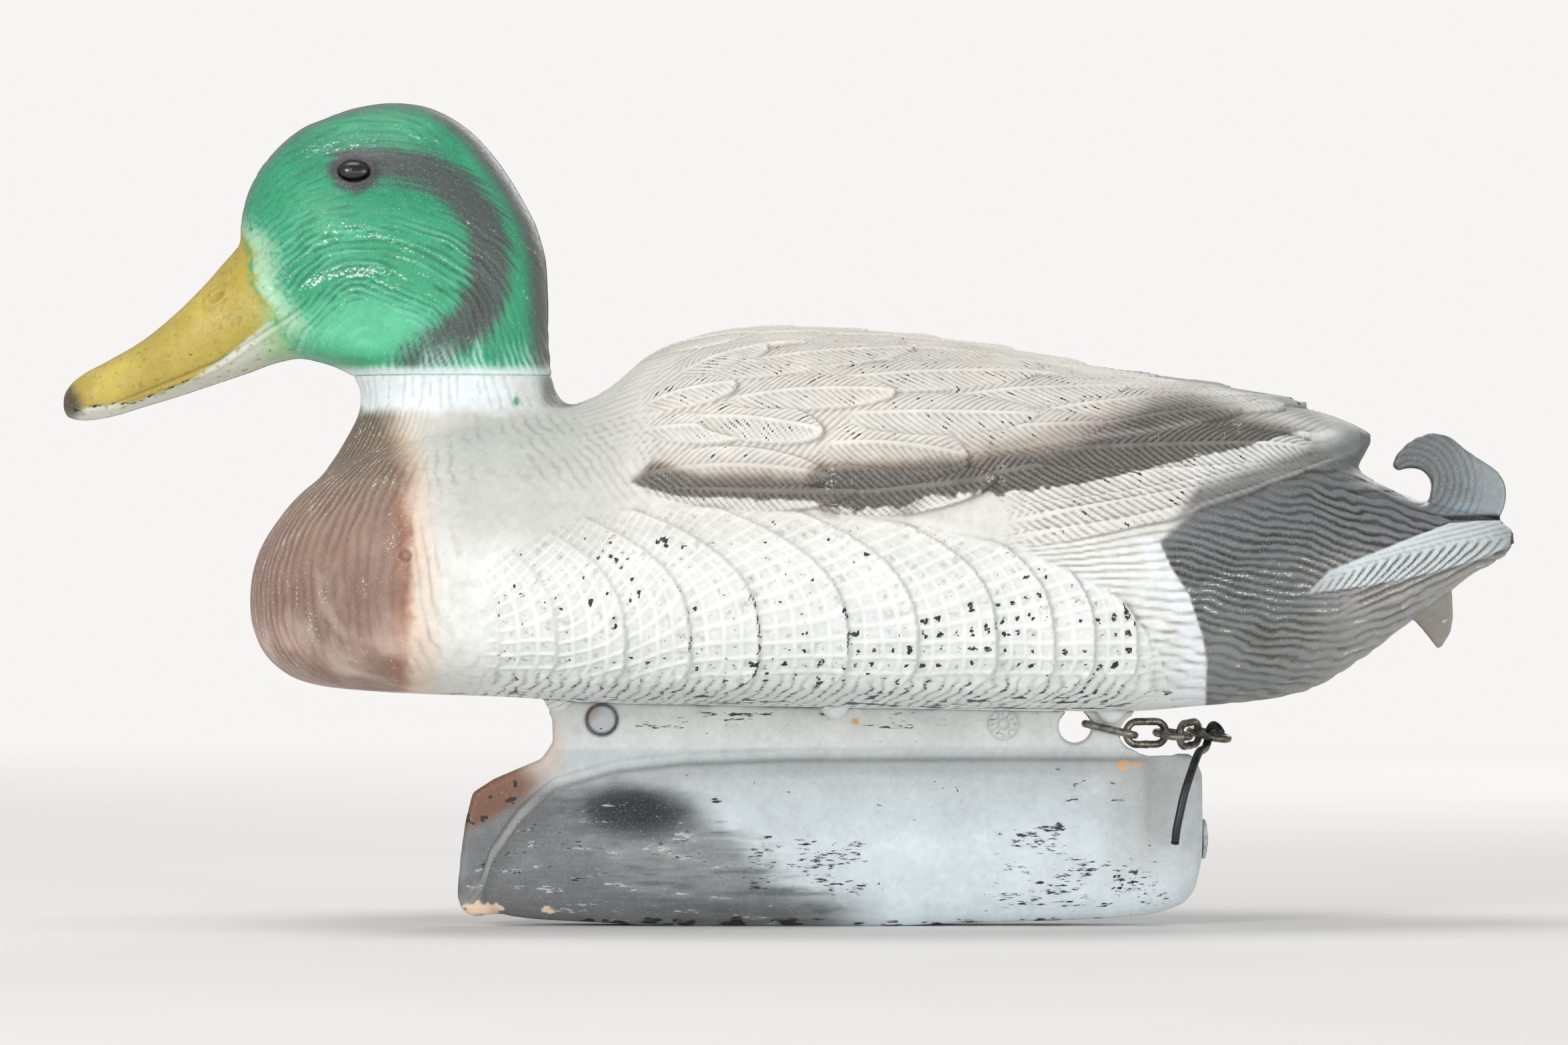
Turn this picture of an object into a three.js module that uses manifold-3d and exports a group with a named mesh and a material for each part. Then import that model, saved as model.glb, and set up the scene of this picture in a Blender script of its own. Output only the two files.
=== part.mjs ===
// Floating drake mallard decoy with a weighted keel, a short anchor chain and a stub of line.
// Millimetres. Bill towards -X, tail towards +X, +Z up. The origin is on the plane of symmetry,
// halfway along the decoy, at the level of the keel's flat bottom.
import * as THREE from "three";
import { mergeVertices } from "three/addons/utils/BufferGeometryUtils.js";
import Module from "manifold-3d";

const wasm = await Module();
wasm.setup();

// ---------------------------------------------------------------- driving dimensions
const GAP = 0.3; // clearance between separate pieces
const BODY_WALL = 3.2;
const HEAD_WALL = 4.0;
const COLLAR_TOP = 159.3; // joint between the body's collar and the head
const SPIGOT_LENGTH = 14;
const KEEL_WALL = 2.6;
const FLANGE_THICKNESS = 3.2;
const ROPE_HOLE = { x: 83.1, z: 57.6, r: 5.0 }; // through hole for the anchor chain
const DIMPLE = { x: -54.2, z: 59.6, r: 5.0, depth: 0.9 }; // second hole, left unpunched
const LUG_STATIONS = [-66.8, 13.4, 93.7]; // lugs under the belly that clasp the flange
const LUG_RADIUS = 3.5;
const FILL_HOLE = { z: 25, r: 4.6 };
const EYE = { x: -124.8, z: 217.7, length: 9.3, height: 6.0, depth: 5.0 };
const WIRE = 2.2; // chain wire
const LINK_LENGTH = 14.6;
const FIRST_LINK_LENGTH = 17.0;
const LINK_WIDTH = 8.8;
const LINE_DIAMETER = 2.4;

// Side outline of the body, as [x, z].
const BACK_LINE = [
  [-155.9, 97], [-155, 103], [-153.1, 108.9], [-147.8, 117.6], [-141.3, 125.2], [-133.9, 131],
  [-126, 136], [-115, 141], [-100, 145], [-80, 148.5], [-61.7, 150.9], [-53.6, 154.6],
  [-40.1, 164.9], [-28.6, 169.3], [-12.8, 171.8], [-1.4, 172.2], [21.5, 171.1], [55.5, 167.2],
  [92.9, 160], [115.3, 156.5], [132.7, 153.2], [146, 148], [158, 137.5], [166, 131], [172, 127.8],
  [179.6, 124.6], [186, 122.4], [194, 120.4], [201, 118.9], [206.5, 117.3], [209.3, 114.8],
  [210.1, 112.4],
];
const BELLY_LINE = [
  [-155.9, 91], [-155, 86.5], [-151.7, 79.1], [-145.7, 73.4], [-139.7, 70.6], [-130.8, 68.9],
  [-108, 67.3], [-82, 66.4], [-55.3, 64.8], [-1.4, 63.7], [66.9, 62.5], [93.8, 62.1],
  [121.5, 63.9], [134.5, 65], [149, 67.7], [165.1, 76.6], [173.6, 83], [180, 88], [186, 92.8],
  [192.5, 97.5], [197.2, 101], [203.4, 104.1], [207.5, 106.8], [209.4, 109], [210.1, 110.6],
];
const BODY_HALF_WIDTH = [
  [-155.9, 5], [-155, 15], [-152, 27], [-147, 38], [-140, 48], [-130, 57], [-115, 66], [-95, 73],
  [-70, 78], [-40, 81.5], [0, 82.5], [35, 81], [65, 76.5], [90, 70], [112, 61.5], [132, 52],
  [150, 43], [166, 35.5], [180, 30], [192, 25], [200, 19.5], [206, 12.5], [209.1, 6.5], [210.1, 2],
];
const WIDEST_LEVEL = [
  [-155.9, 94], [-140, 97], [-100, 99], [0, 99], [80, 100], [120, 101], [150, 102], [175, 106.5],
  [192, 110.5], [205, 111.8], [210.1, 111.6],
];
// Closed tips of the folded wings over the rump.
const TIPS = {
  top: [[105, 152], [115.3, 156.4], [132.7, 153.6], [154.2, 148.8], [165.8, 144.4], [169.2, 142.6]],
  bottom: [[105, 134], [130, 132], [154, 131], [164, 132.5], [167.2, 136], [168.4, 139.2]],
  halfWidth: [[105, 30], [130, 30], [150, 22], [162, 12], [167, 6], [169.2, 2.2]],
};
// Neck and collar: front, back and half width against height.
const NECK = {
  front: [[128, -137], [136, -131.5], [143, -127.4], [149.5, -124.4], [154, -124.1], [159.3, -126.2]],
  back: [[128, -36], [136, -45], [143, -53.5], [149.5, -63], [154, -67.2], [159.3, -68.9]],
  halfWidth: [[128, 40], [136, 33], [143, 27.5], [149.5, 24], [154, 23], [159.3, 23]],
};
const CRANIUM = {
  front: [
    [159.6, -126.3], [161, -129], [163.2, -134.5], [164.8, -141], [168, -146.5], [172, -149.5],
    [180, -153.2], [190, -157], [198.7, -159], [205.7, -158.1], [212.7, -156.2], [220.4, -152.1],
    [226, -147.3], [231.4, -140.3], [234.7, -132.4], [237.2, -124.5], [238.4, -116.8],
  ],
  back: [
    [159.6, -69], [165, -69.5], [172, -69.9], [180.9, -70], [191.8, -70.6], [201.8, -73.1],
    [210.1, -77.2], [219.4, -83], [227.9, -90], [233.4, -96.9], [236.8, -103.7], [238.4, -110.6],
  ],
  halfWidth: [
    [159.6, 23.2], [166, 23.6], [174, 25], [184, 27], [196, 27.6], [206, 26.6], [214, 24.6],
    [222, 21], [229, 16], [234, 10.6], [237, 6], [238.4, 2.5],
  ],
};
const BILL = {
  top: [
    [-210.1, 152.6], [-209.4, 154.8], [-205.5, 158.9], [-197.6, 163.3], [-187.7, 169.1],
    [-177.8, 177.1], [-168, 186.9], [-162, 193.9], [-156, 200], [-150, 204],
  ],
  bottom: [
    [-210.1, 150], [-209, 147.6], [-204.5, 146.7], [-182.7, 151.9], [-166, 157.3], [-154, 161.4],
    [-150, 163.4],
  ],
  halfWidth: [
    [-210.1, 4], [-209, 7.5], [-205.5, 11], [-199, 13], [-188, 12.8], [-176, 12.2], [-165, 13],
    [-156, 15.5], [-150, 17.5],
  ],
};
const CURL = [
  [183.4, 119], [186.4, 124], [186.6, 129], [184.8, 131.4], [181.1, 132.8], [176.5, 131.6],
  [174.9, 133.1], [176.5, 136.6], [180.3, 140.5], [186.5, 143.2], [191.8, 142], [197.2, 137.4],
  [205.7, 132], [208.2, 127.7], [208.2, 122.5], [206.2, 117.8], [196, 114],
];
const CURL_THICKNESS = 6;
const MOULD_TAB = [[178, 92], [183.4, 86.5], [186.5, 82.6], [188.9, 79.5], [192.9, 86.5], [192.5, 99]];
const MOULD_TAB_THICKNESS = 3;
// Side outline of the keel's parting web and flange.
const KEEL_OUTLINE = [
  [-70.8, 64.4], [-68.3, 59.8], [-68.1, 53], [-71.6, 48], [-79, 44.9], [-85.7, 42], [-91.5, 38.3],
  [-93.5, 30.2], [-95, 19], [-95.9, 8.7], [-94.6, 4.3], [-91.5, 2.7], [-60, 6], [60, 6], [113, 8],
  [117, 12], [118.6, 19.7], [119.2, 31.5], [119.4, 43.5], [118.4, 46.8], [116.3, 49.4],
  [105.3, 49.5], [102.4, 50.2], [100.2, 51.0], [98.3, 52.0], [97.0, 53.5], [96.4, 55.6], [97.0, 57.8],
  [98.4, 59.5], [100.1, 60.5],
  [100.4, 61.4],
];
const BULB = {
  top: [
    [-89, 17], [-86.3, 22.6], [-80, 33], [-70, 41.4], [-58, 45.6], [-35, 48.4], [0, 49.6], [60, 49.4],
    [100, 49.4], [114, 49.4], [117.6, 48.2], [119.8, 43.5],
  ],
  bottom: [
    [-89, 10], [-86.3, 5], [-80, 2.8], [-71.6, 1.9], [-53.8, 1], [-36, 0], [24, 0], [54.8, 1],
    [78.4, 1.7], [102.2, 3.1], [113.2, 6], [117.6, 10.5], [119.8, 20],
  ],
  halfWidth: [
    [-89, 2.2], [-86.3, 5.5], [-80, 9], [-70, 11.6], [-55, 13.3], [0, 14], [60, 14], [100, 13.6],
    [111, 12.8], [117.6, 10.4], [119.8, 7.5],
  ],
  section: [[0, 0.5], [0.05, 0.7], [0.16, 0.9], [0.38, 1], [0.6, 0.91], [0.78, 0.66], [0.9, 0.38], [1, 0.13]],
};

// ---------------------------------------------------------------- helpers
// Monotone cubic through [x, y] pairs, so that an outline never overshoots its own points.
function curve(points) {
  const n = points.length;
  const slope = [];
  for (let i = 0; i < n - 1; i++) {
    slope.push((points[i + 1][1] - points[i][1]) / (points[i + 1][0] - points[i][0]));
  }
  const tangent = [slope[0]];
  for (let i = 1; i < n - 1; i++) {
    const [a, b] = [slope[i - 1], slope[i]];
    tangent.push(a * b <= 0 ? 0 : (2 * a * b) / (a + b));
  }
  tangent.push(slope[n - 2]);
  return (x) => {
    let i = 0;
    while (i < n - 2 && x > points[i + 1][0]) i++;
    const h = points[i + 1][0] - points[i][0];
    const t = Math.min(Math.max((x - points[i][0]) / h, 0), 1);
    const [t2, t3] = [t * t, t * t * t];
    return (
      (2 * t3 - 3 * t2 + 1) * points[i][1] +
      (t3 - 2 * t2 + t) * h * tangent[i] +
      (3 * t2 - 2 * t3) * points[i + 1][1] +
      (t3 - t2) * h * tangent[i + 1]
    );
  };
}

// Stations from a to b, closer together towards both ends.
function stations(a, b, count) {
  return Array.from({ length: count + 1 }, (_, i) => {
    const t = i / count;
    const eased = 0.35 * t + 0.65 * (0.5 - 0.5 * Math.cos(Math.PI * t));
    return a + (b - a) * eased;
  });
}

const power = (v, n) => Math.sign(v) * Math.abs(v) ** (2 / n);

// Closed solid through rings that all hold the same number of points, with flat ends.
function loft(rings) {
  const count = rings[0].length;
  const positions = rings.flat().flatMap((p) => [p.x, p.y, p.z]);
  const index = [];
  for (let i = 0; i < rings.length - 1; i++) {
    for (let j = 0; j < count; j++) {
      const a = i * count + j;
      const b = i * count + ((j + 1) % count);
      index.push(a, b, a + count, b, b + count, a + count);
    }
  }
  for (const [ring, start, flip] of [[rings[0], 0, true], [rings.at(-1), (rings.length - 1) * count, false]]) {
    const centre = ring.reduce((s, p) => s.add(p), new THREE.Vector3()).divideScalar(count);
    const middle = positions.length / 3;
    positions.push(centre.x, centre.y, centre.z);
    for (let j = 0; j < count; j++) {
      const [a, b] = [start + j, start + ((j + 1) % count)];
      index.push(...(flip ? [middle, b, a] : [middle, a, b]));
    }
  }
  const geometry = new THREE.BufferGeometry();
  geometry.setAttribute("position", new THREE.Float32BufferAttribute(positions, 3));
  geometry.setIndex(index);
  return geometry;
}

function toManifold(geometry) {
  const bare = geometry.clone();
  bare.deleteAttribute("normal");
  bare.deleteAttribute("uv");
  const merged = mergeVertices(bare, 1e-4);
  const triVerts = Uint32Array.from(merged.index.array);
  const vertProperties = Float32Array.from(merged.attributes.position.array);
  const solid = new wasm.Manifold(new wasm.Mesh({ numProp: 3, vertProperties, triVerts }));
  if (solid.volume() >= 0) return solid;
  for (let i = 0; i < triVerts.length; i += 3) {
    [triVerts[i + 1], triVerts[i + 2]] = [triVerts[i + 2], triVerts[i + 1]];
  }
  return new wasm.Manifold(new wasm.Mesh({ numProp: 3, vertProperties, triVerts }));
}

function fromManifold(solid) {
  const mesh = solid.getMesh();
  const geometry = new THREE.BufferGeometry();
  geometry.setAttribute("position", new THREE.Float32BufferAttribute(mesh.vertProperties, 3));
  geometry.setIndex(new THREE.Uint32BufferAttribute(mesh.triVerts, 1));
  geometry.computeVertexNormals();
  return geometry;
}

const unite = (...solids) => solids.reduce((a, b) => a.add(b));

// Plate with an outline in the XZ plane, centred on y.
function plate(outline, thickness, y = 0) {
  const shape = new THREE.Shape(outline.map(([x, z]) => new THREE.Vector2(x, z)));
  const geometry = new THREE.ExtrudeGeometry(shape, { depth: thickness, bevelEnabled: false });
  geometry.rotateX(Math.PI / 2);
  geometry.translate(0, y + thickness / 2, 0);
  return toManifold(geometry);
}

// Plain cylinder along Y.
function pinAlongY(x, z, radius, y0, y1, sides = 28) {
  const geometry = new THREE.CylinderGeometry(radius, radius, y1 - y0, sides);
  geometry.translate(x, (y0 + y1) / 2, z);
  return toManifold(geometry);
}

function ellipsoid(x, y, z, a, b, c, segments = 16, rings = 10) {
  const geometry = new THREE.SphereGeometry(1, segments, rings);
  geometry.scale(a, b, c);
  geometry.translate(x, y, z);
  return toManifold(geometry);
}

// ---------------------------------------------------------------- body
const backZ = curve(BACK_LINE);
const bellyZ = curve(BELLY_LINE);
const bodyHalf = curve(BODY_HALF_WIDTH);
const widestZ = curve(WIDEST_LEVEL);

function bodyRing(x, inset, sides) {
  const half = Math.max(bodyHalf(x) - inset, 0.6);
  const level = widestZ(x);
  const up = Math.max(backZ(x) - level - inset, 0.4);
  const down = Math.max(level - bellyZ(x) - inset, 0.4);
  return Array.from({ length: sides }, (_, j) => {
    const angle = (2 * Math.PI * j) / sides;
    const [c, s] = [Math.cos(angle), Math.sin(angle)];
    const n = s >= 0 ? 2.15 : 2.7;
    return new THREE.Vector3(x, half * power(c, n), level + (s >= 0 ? up : down) * power(s, n));
  });
}

function bodyLoft(x0, x1, inset, count, sides) {
  return toManifold(loft(stations(x0, x1, count).map((x) => bodyRing(x, inset, sides))));
}

// Solid between a top line and a bottom line, with a half width, along X.
function tongueLoft(lines, xs, sides, exponent, middle) {
  const [top, bottom, half] = [curve(lines.top), curve(lines.bottom), curve(lines.halfWidth)];
  return toManifold(
    loft(
      xs.map((x) => {
        const [hi, lo] = [top(x), bottom(x)];
        const level = lo + (hi - lo) * middle;
        return Array.from({ length: sides }, (_, j) => {
          const angle = (2 * Math.PI * j) / sides;
          const [c, s] = [Math.cos(angle), Math.sin(angle)];
          const z = level + (s >= 0 ? hi - level : level - lo) * power(s, exponent);
          return new THREE.Vector3(x, half(x) * power(c, exponent), z);
        });
      }),
    ),
  );
}

// Upright solid between a front line and a back line, along Z.
function uprightLoft(lines, zs, inset, sides, exponent) {
  const [front, back, half] = [curve(lines.front), curve(lines.back), curve(lines.halfWidth)];
  return toManifold(
    loft(
      zs.map((z) => {
        const middle = (front(z) + back(z)) / 2;
        const reach = Math.max((back(z) - front(z)) / 2 - inset, 0.5);
        const width = Math.max(half(z) - inset, 0.5);
        return Array.from({ length: sides }, (_, j) => {
          const angle = (2 * Math.PI * j) / sides;
          return new THREE.Vector3(
            middle + reach * power(Math.cos(angle), exponent),
            width * power(Math.sin(angle), exponent),
            z,
          );
        });
      }),
    ),
  );
}

// Straight tube of the collar's own section, for the bore and the spigot.
function neckPrism(inset, z0, z1, sides = 28) {
  const [front, back, half] = [NECK.front.at(-1)[1], NECK.back.at(-1)[1], NECK.halfWidth.at(-1)[1]];
  const lines = {
    front: [[z0, front], [z1, front]],
    back: [[z0, back], [z1, back]],
    halfWidth: [[z0, half], [z1, half]],
  };
  return uprightLoft(lines, [z0, z1], inset, sides, 2.1);
}

const SPIGOT_INSET = BODY_WALL + 2.2;
const flangeSlot = plate(
  [[-75, 50], [105, 50], [105, 90], [-75, 90]],
  FLANGE_THICKNESS + 2 * GAP,
);
const lugs = LUG_STATIONS.flatMap((x) =>
  [-1, 1].map((side) =>
    ellipsoid(x, side * 3.2, bellyZ(x) + 0.6, LUG_RADIUS, LUG_RADIUS + 0.6, LUG_RADIUS + 0.4, 12, 8),
  ),
);
const bodyOuter = unite(
  bodyLoft(-155.9, 210.1, 0, 34, 32),
  tongueLoft(TIPS, stations(105, 169.2, 7), 14, 2.1, 0.4),
  uprightLoft(NECK, [128, 136, 143, 149.5, 154, COLLAR_TOP], 0, 28, 2.1),
  plate(CURL, CURL_THICKNESS),
  plate(MOULD_TAB, MOULD_TAB_THICKNESS),
);
const lugsClear = unite(...lugs).subtract(flangeSlot);
const bodyHollow = unite(
  bodyLoft(-151, 168, BODY_WALL, 15, 18),
  neckPrism(SPIGOT_INSET - GAP, 120, COLLAR_TOP + 2),
);
const bodySolid = bodyOuter.add(lugsClear).subtract(bodyHollow);

// ---------------------------------------------------------------- head
const headOuter = unite(
  uprightLoft(CRANIUM, stations(159.6, 238.4, 19), 0, 28, 2.15),
  tongueLoft(BILL, stations(-210.1, -150, 12), 16, 2.3, 0.42),
);
const headHollow = unite(
  uprightLoft(CRANIUM, stations(164, 232, 8), HEAD_WALL, 16, 2.15),
  tongueLoft(
    {
      top: [[-196, 158.5], [-187.7, 164.4], [-177.8, 172], [-162, 188], [-140, 200]],
      bottom: [[-196, 153.5], [-182.7, 156.5], [-166, 161.8], [-150, 168], [-140, 172]],
      halfWidth: [[-196, 5.5], [-182, 7.5], [-165, 8.2], [-150, 12], [-140, 13]],
    },
    stations(-196, -140, 5),
    10,
    2.2,
    0.45,
  ),
  neckPrism(SPIGOT_INSET + 2.4, COLLAR_TOP - SPIGOT_LENGTH - 2, 172, 20),
);
const headHalf = curve(CRANIUM.halfWidth);
const headFront = curve(CRANIUM.front);
const headBack = curve(CRANIUM.back);
const eyeReach = (EYE.x - (headFront(EYE.z) + headBack(EYE.z)) / 2) / ((headBack(EYE.z) - headFront(EYE.z)) / 2);
const eyeY = headHalf(EYE.z) * (1 - Math.abs(eyeReach) ** 2.15) ** (1 / 2.15) - 1.0;
const sockets = [-1, 1].map((side) =>
  ellipsoid(EYE.x, side * eyeY, EYE.z, EYE.length / 2 + GAP, EYE.depth / 2 + GAP, EYE.height / 2 + GAP),
);
const headSolid = unite(headOuter, neckPrism(SPIGOT_INSET, COLLAR_TOP - SPIGOT_LENGTH, 162))
  .subtract(headHollow)
  .subtract(unite(...sockets));

// ---------------------------------------------------------------- keel
function bulbLoft(x0, x1, inset, count) {
  const [top, bottom, half] = [curve(BULB.top), curve(BULB.bottom), curve(BULB.halfWidth)];
  return toManifold(
    loft(
      stations(x0, x1, count).map((x) => {
        const lo = bottom(x) + inset;
        const hi = Math.max(top(x) - 2.2 * inset, lo + 1);
        const side = BULB.section.map(([t, f]) => {
          const width = Math.max(half(x) * f - inset, 0.5);
          return new THREE.Vector3(x, width, lo + (hi - lo) * t);
        });
        return [...side, ...side.toReversed().map((p) => new THREE.Vector3(p.x, -p.y, p.z))];
      }),
    ),
  );
}

const flangeTop = [];
for (let x = 100.4; x >= -70.8; x -= 10.7) flangeTop.push([x, bellyZ(x) - GAP]);
const keelPlate = plate([...KEEL_OUTLINE.slice(1, -1), ...flangeTop], FLANGE_THICKNESS);
const fillBore = new THREE.CylinderGeometry(FILL_HOLE.r, FILL_HOLE.r, 20, 24);
fillBore.rotateZ(Math.PI / 2);
fillBore.translate(119, 0, FILL_HOLE.z);
const ropeHole = pinAlongY(ROPE_HOLE.x, ROPE_HOLE.z, ROPE_HOLE.r, -20, 20);
const dimples = [-1, 1].map((side) => {
  const cone = new THREE.CylinderGeometry(DIMPLE.r, DIMPLE.r * 0.55, 2 * DIMPLE.depth, 28);
  if (side < 0) cone.rotateX(Math.PI);
  cone.translate(DIMPLE.x, (side * FLANGE_THICKNESS) / 2, DIMPLE.z);
  return toManifold(cone);
});
const KEEL_HOLLOW = [-78, 113];
const keelSolid = keelPlate
  .add(bulbLoft(-89, 119.8, 0, 24))
  .subtract(bulbLoft(...KEEL_HOLLOW, KEEL_WALL, 14))
  .subtract(toManifold(fillBore))
  .subtract(unite(...dimples))
  .subtract(ropeHole);
const ballastSolid = bulbLoft(
  KEEL_HOLLOW[0] + GAP,
  KEEL_HOLLOW[1] - GAP - 6,
  KEEL_WALL + GAP,
  12,
);

// Domed plug with a thin flange, pushed into the filling hole from the rear.
const plugProfile = [
  [0, 0], [FILL_HOLE.r - GAP, 0], [FILL_HOLE.r - GAP, 6.2], [FILL_HOLE.r + 1.2, 6.2],
  [FILL_HOLE.r + 1.2, 7], [FILL_HOLE.r - 0.6, 7.6], [0, 7.9],
];
const plugGeometry = new THREE.LatheGeometry(
  plugProfile.map(([r, y]) => new THREE.Vector2(r, y)),
  24,
);
plugGeometry.rotateZ(-Math.PI / 2);

// ---------------------------------------------------------------- chain and line
const SIDES = 8; // of the wire's section

// Closed stadium-shaped wire link, long axis X, flat in XY, its near end wire at the origin.
function linkGeometry(length, width) {
  const reach = (width - WIRE) / 2;
  const straight = length - WIRE - 2 * reach;
  const path = new THREE.CurvePath();
  const arc = (cx, from, to) =>
    new THREE.CatmullRomCurve3(
      Array.from({ length: 7 }, (_, i) => {
        const a = from + ((to - from) * i) / 6;
        return new THREE.Vector3(cx + reach * Math.cos(a), reach * Math.sin(a), 0);
      }),
    );
  const [near, far] = [reach, reach + straight];
  path.add(new THREE.LineCurve3(new THREE.Vector3(near, -reach, 0), new THREE.Vector3(far, -reach, 0)));
  path.add(arc(far, -Math.PI / 2, Math.PI / 2));
  path.add(new THREE.LineCurve3(new THREE.Vector3(far, reach, 0), new THREE.Vector3(near, reach, 0)));
  path.add(arc(near, Math.PI / 2, (3 * Math.PI) / 2));
  const points = path.getSpacedPoints(20).slice(0, -1);
  const rings = points.map((p, i) => {
    const tangent = points[(i + 1) % points.length].clone().sub(points.at(i - 1)).normalize();
    const side = new THREE.Vector3(tangent.y, -tangent.x, 0);
    return Array.from({ length: SIDES }, (_, j) => {
      const a = (2 * Math.PI * (j + 0.5)) / SIDES;
      const r = WIRE / 2;
      return p.clone().addScaledVector(side, r * Math.cos(a)).add(new THREE.Vector3(0, 0, r * Math.sin(a)));
    });
  });
  const positions = rings.flat().flatMap((p) => [p.x, p.y, p.z]);
  const index = [];
  rings.forEach((ring, i) => {
    const next = (i + 1) % rings.length;
    for (let j = 0; j < SIDES; j++) {
      const k = (j + 1) % SIDES;
      const [a, b] = [i * SIDES, next * SIDES];
      index.push(a + j, b + j, a + k, a + k, b + j, b + k);
    }
  });
  const geometry = new THREE.BufferGeometry();
  geometry.setAttribute("position", new THREE.Float32BufferAttribute(positions, 3));
  geometry.setIndex(index);
  return fromManifold(toManifold(geometry));
}

// Each link hooks into the end of the one before it. Yaw turns it about Z, pitch tips its far end
// down, and upright links stand in a vertical plane. A flat link turns about the upright end wire
// of the link before it, and an upright link turns about its own near end wire.
const HOOK = WIRE + GAP;
const LINKS = [
  { name: "chain_link_1", length: FIRST_LINK_LENGTH, yaw: 0, pitch: 13, upright: false },
  { name: "chain_link_2", length: LINK_LENGTH, yaw: 20, pitch: 0, upright: true },
  { name: "chain_link_3", length: LINK_LENGTH, yaw: -60, pitch: 6, upright: false },
  { name: "chain_link_4", length: LINK_LENGTH, yaw: 60, pitch: -4, upright: true },
  { name: "chain_link_5", length: LINK_LENGTH, yaw: -40, pitch: 11, upright: false },
];
const FIRST_LINK_AT = new THREE.Vector3(ROPE_HOLE.x + ROPE_HOLE.r - WIRE / 2 - 3 * GAP, 0, 58.4);

// The line comes up through the last link, bends over its near leg and ends square.
const LINE_ROUTE = [
  [125.4, -2.6, 55.8], [124.6, -0.6, 57.2], [123.4, 2.4, 57.9], [122.6, 5.0, 56.6], [122.2, 6.0, 53.8],
  [121.4, 4.6, 51.6], [120.4, 0, 50.9], [118.9, -6.5, 50.4], [117.6, -11.5, 48.4],
  [115.9, -15, 44.2], [114.1, -16.9, 39], [112.7, -17.5, 33], [111.7, -17.4, 28], [111.3, -17, 24.2],
];

// ---------------------------------------------------------------- scene
const group = new THREE.Group();
group.name = "floating_duck_decoy";

function addMesh(name, geometry, color, roughness, metalness = 0) {
  const material = new THREE.MeshStandardMaterial({ color, roughness, metalness });
  const mesh = new THREE.Mesh(geometry, material);
  mesh.name = name;
  group.add(mesh);
  return mesh;
}

addMesh("body_shell", fromManifold(bodySolid), 0xdcdcd6, 0.6);
addMesh("head_shell", fromManifold(headSolid), 0x2f9a5e, 0.5);
for (const [name, side] of [["eye_left", -1], ["eye_right", 1]]) {
  const ball = new THREE.SphereGeometry(1, 14, 10);
  ball.scale(EYE.length / 2, EYE.depth / 2, EYE.height / 2);
  addMesh(name, ball, 0x0b0b0c, 0.08).position.set(EYE.x, side * eyeY, EYE.z);
}
addMesh("keel_shell", fromManifold(keelSolid), 0xc6ced2, 0.6);
addMesh("keel_ballast", fromManifold(ballastSolid), 0x8d8a83, 0.9);
addMesh("keel_fill_plug", plugGeometry, 0x1c1c1c, 0.5).position.set(
  119.8 + GAP - 6.2,
  0,
  FILL_HOLE.z,
);

const far = FIRST_LINK_AT.clone();
let last = new THREE.Vector3();
for (const link of LINKS) {
  const [yaw, pitch] = [link.yaw, link.pitch].map(THREE.MathUtils.degToRad);
  const along = new THREE.Vector3(
    Math.cos(yaw) * Math.cos(pitch),
    Math.sin(yaw) * Math.cos(pitch),
    -Math.sin(pitch),
  );
  const hooked = link === LINKS[0] ? 0 : HOOK;
  const near = far.clone().addScaledVector(link.upright ? last : along, -hooked);
  const mesh = addMesh(link.name, linkGeometry(link.length, LINK_WIDTH), 0x4c4843, 0.42, 1);
  mesh.position.copy(near);
  mesh.rotation.order = "ZYX";
  mesh.rotation.set(link.upright ? Math.PI / 2 : 0, pitch, yaw);
  far.copy(near).addScaledVector(along, link.length - WIRE);
  last = along;
}

const route = new THREE.CatmullRomCurve3(LINE_ROUTE.map((p) => new THREE.Vector3(...p)));
const disc = new THREE.Shape(
  Array.from({ length: 8 }, (_, i) => {
    const a = (2 * Math.PI * i) / 8;
    return new THREE.Vector2((LINE_DIAMETER / 2) * Math.cos(a), (LINE_DIAMETER / 2) * Math.sin(a));
  }),
);
const lineGeometry = new THREE.ExtrudeGeometry(disc, {
  steps: 34,
  bevelEnabled: false,
  extrudePath: route,
});
addMesh("anchor_line_stub", lineGeometry, 0x17181a, 0.45);

export default group;
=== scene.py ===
import math

import bpy
import numpy as np
from mathutils import Matrix, Vector


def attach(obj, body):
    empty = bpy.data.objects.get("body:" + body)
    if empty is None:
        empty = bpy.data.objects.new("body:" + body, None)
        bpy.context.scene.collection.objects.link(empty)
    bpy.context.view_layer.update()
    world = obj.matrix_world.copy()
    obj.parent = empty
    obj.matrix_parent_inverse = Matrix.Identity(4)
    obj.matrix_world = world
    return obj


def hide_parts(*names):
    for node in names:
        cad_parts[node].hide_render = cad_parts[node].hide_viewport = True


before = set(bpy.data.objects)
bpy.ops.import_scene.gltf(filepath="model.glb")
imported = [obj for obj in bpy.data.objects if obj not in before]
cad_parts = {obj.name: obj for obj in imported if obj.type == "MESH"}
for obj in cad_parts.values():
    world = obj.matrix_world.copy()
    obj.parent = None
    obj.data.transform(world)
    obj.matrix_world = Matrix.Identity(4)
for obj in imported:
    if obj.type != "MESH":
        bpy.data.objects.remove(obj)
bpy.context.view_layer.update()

# Lengths in the tables are millimetres; everything is scaled to metres when a mesh is made.
MM = 0.001

# ---------------------------------------------------------------- camera
VIEW_X, VIEW_Z = -1.3, 116.8      # what the camera looks at
VIEW_DISTANCE = 2200.0
VIEW_WIDTH = 455.1                # width of the frame at the plane of symmetry
SENSOR = 36.0

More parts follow.
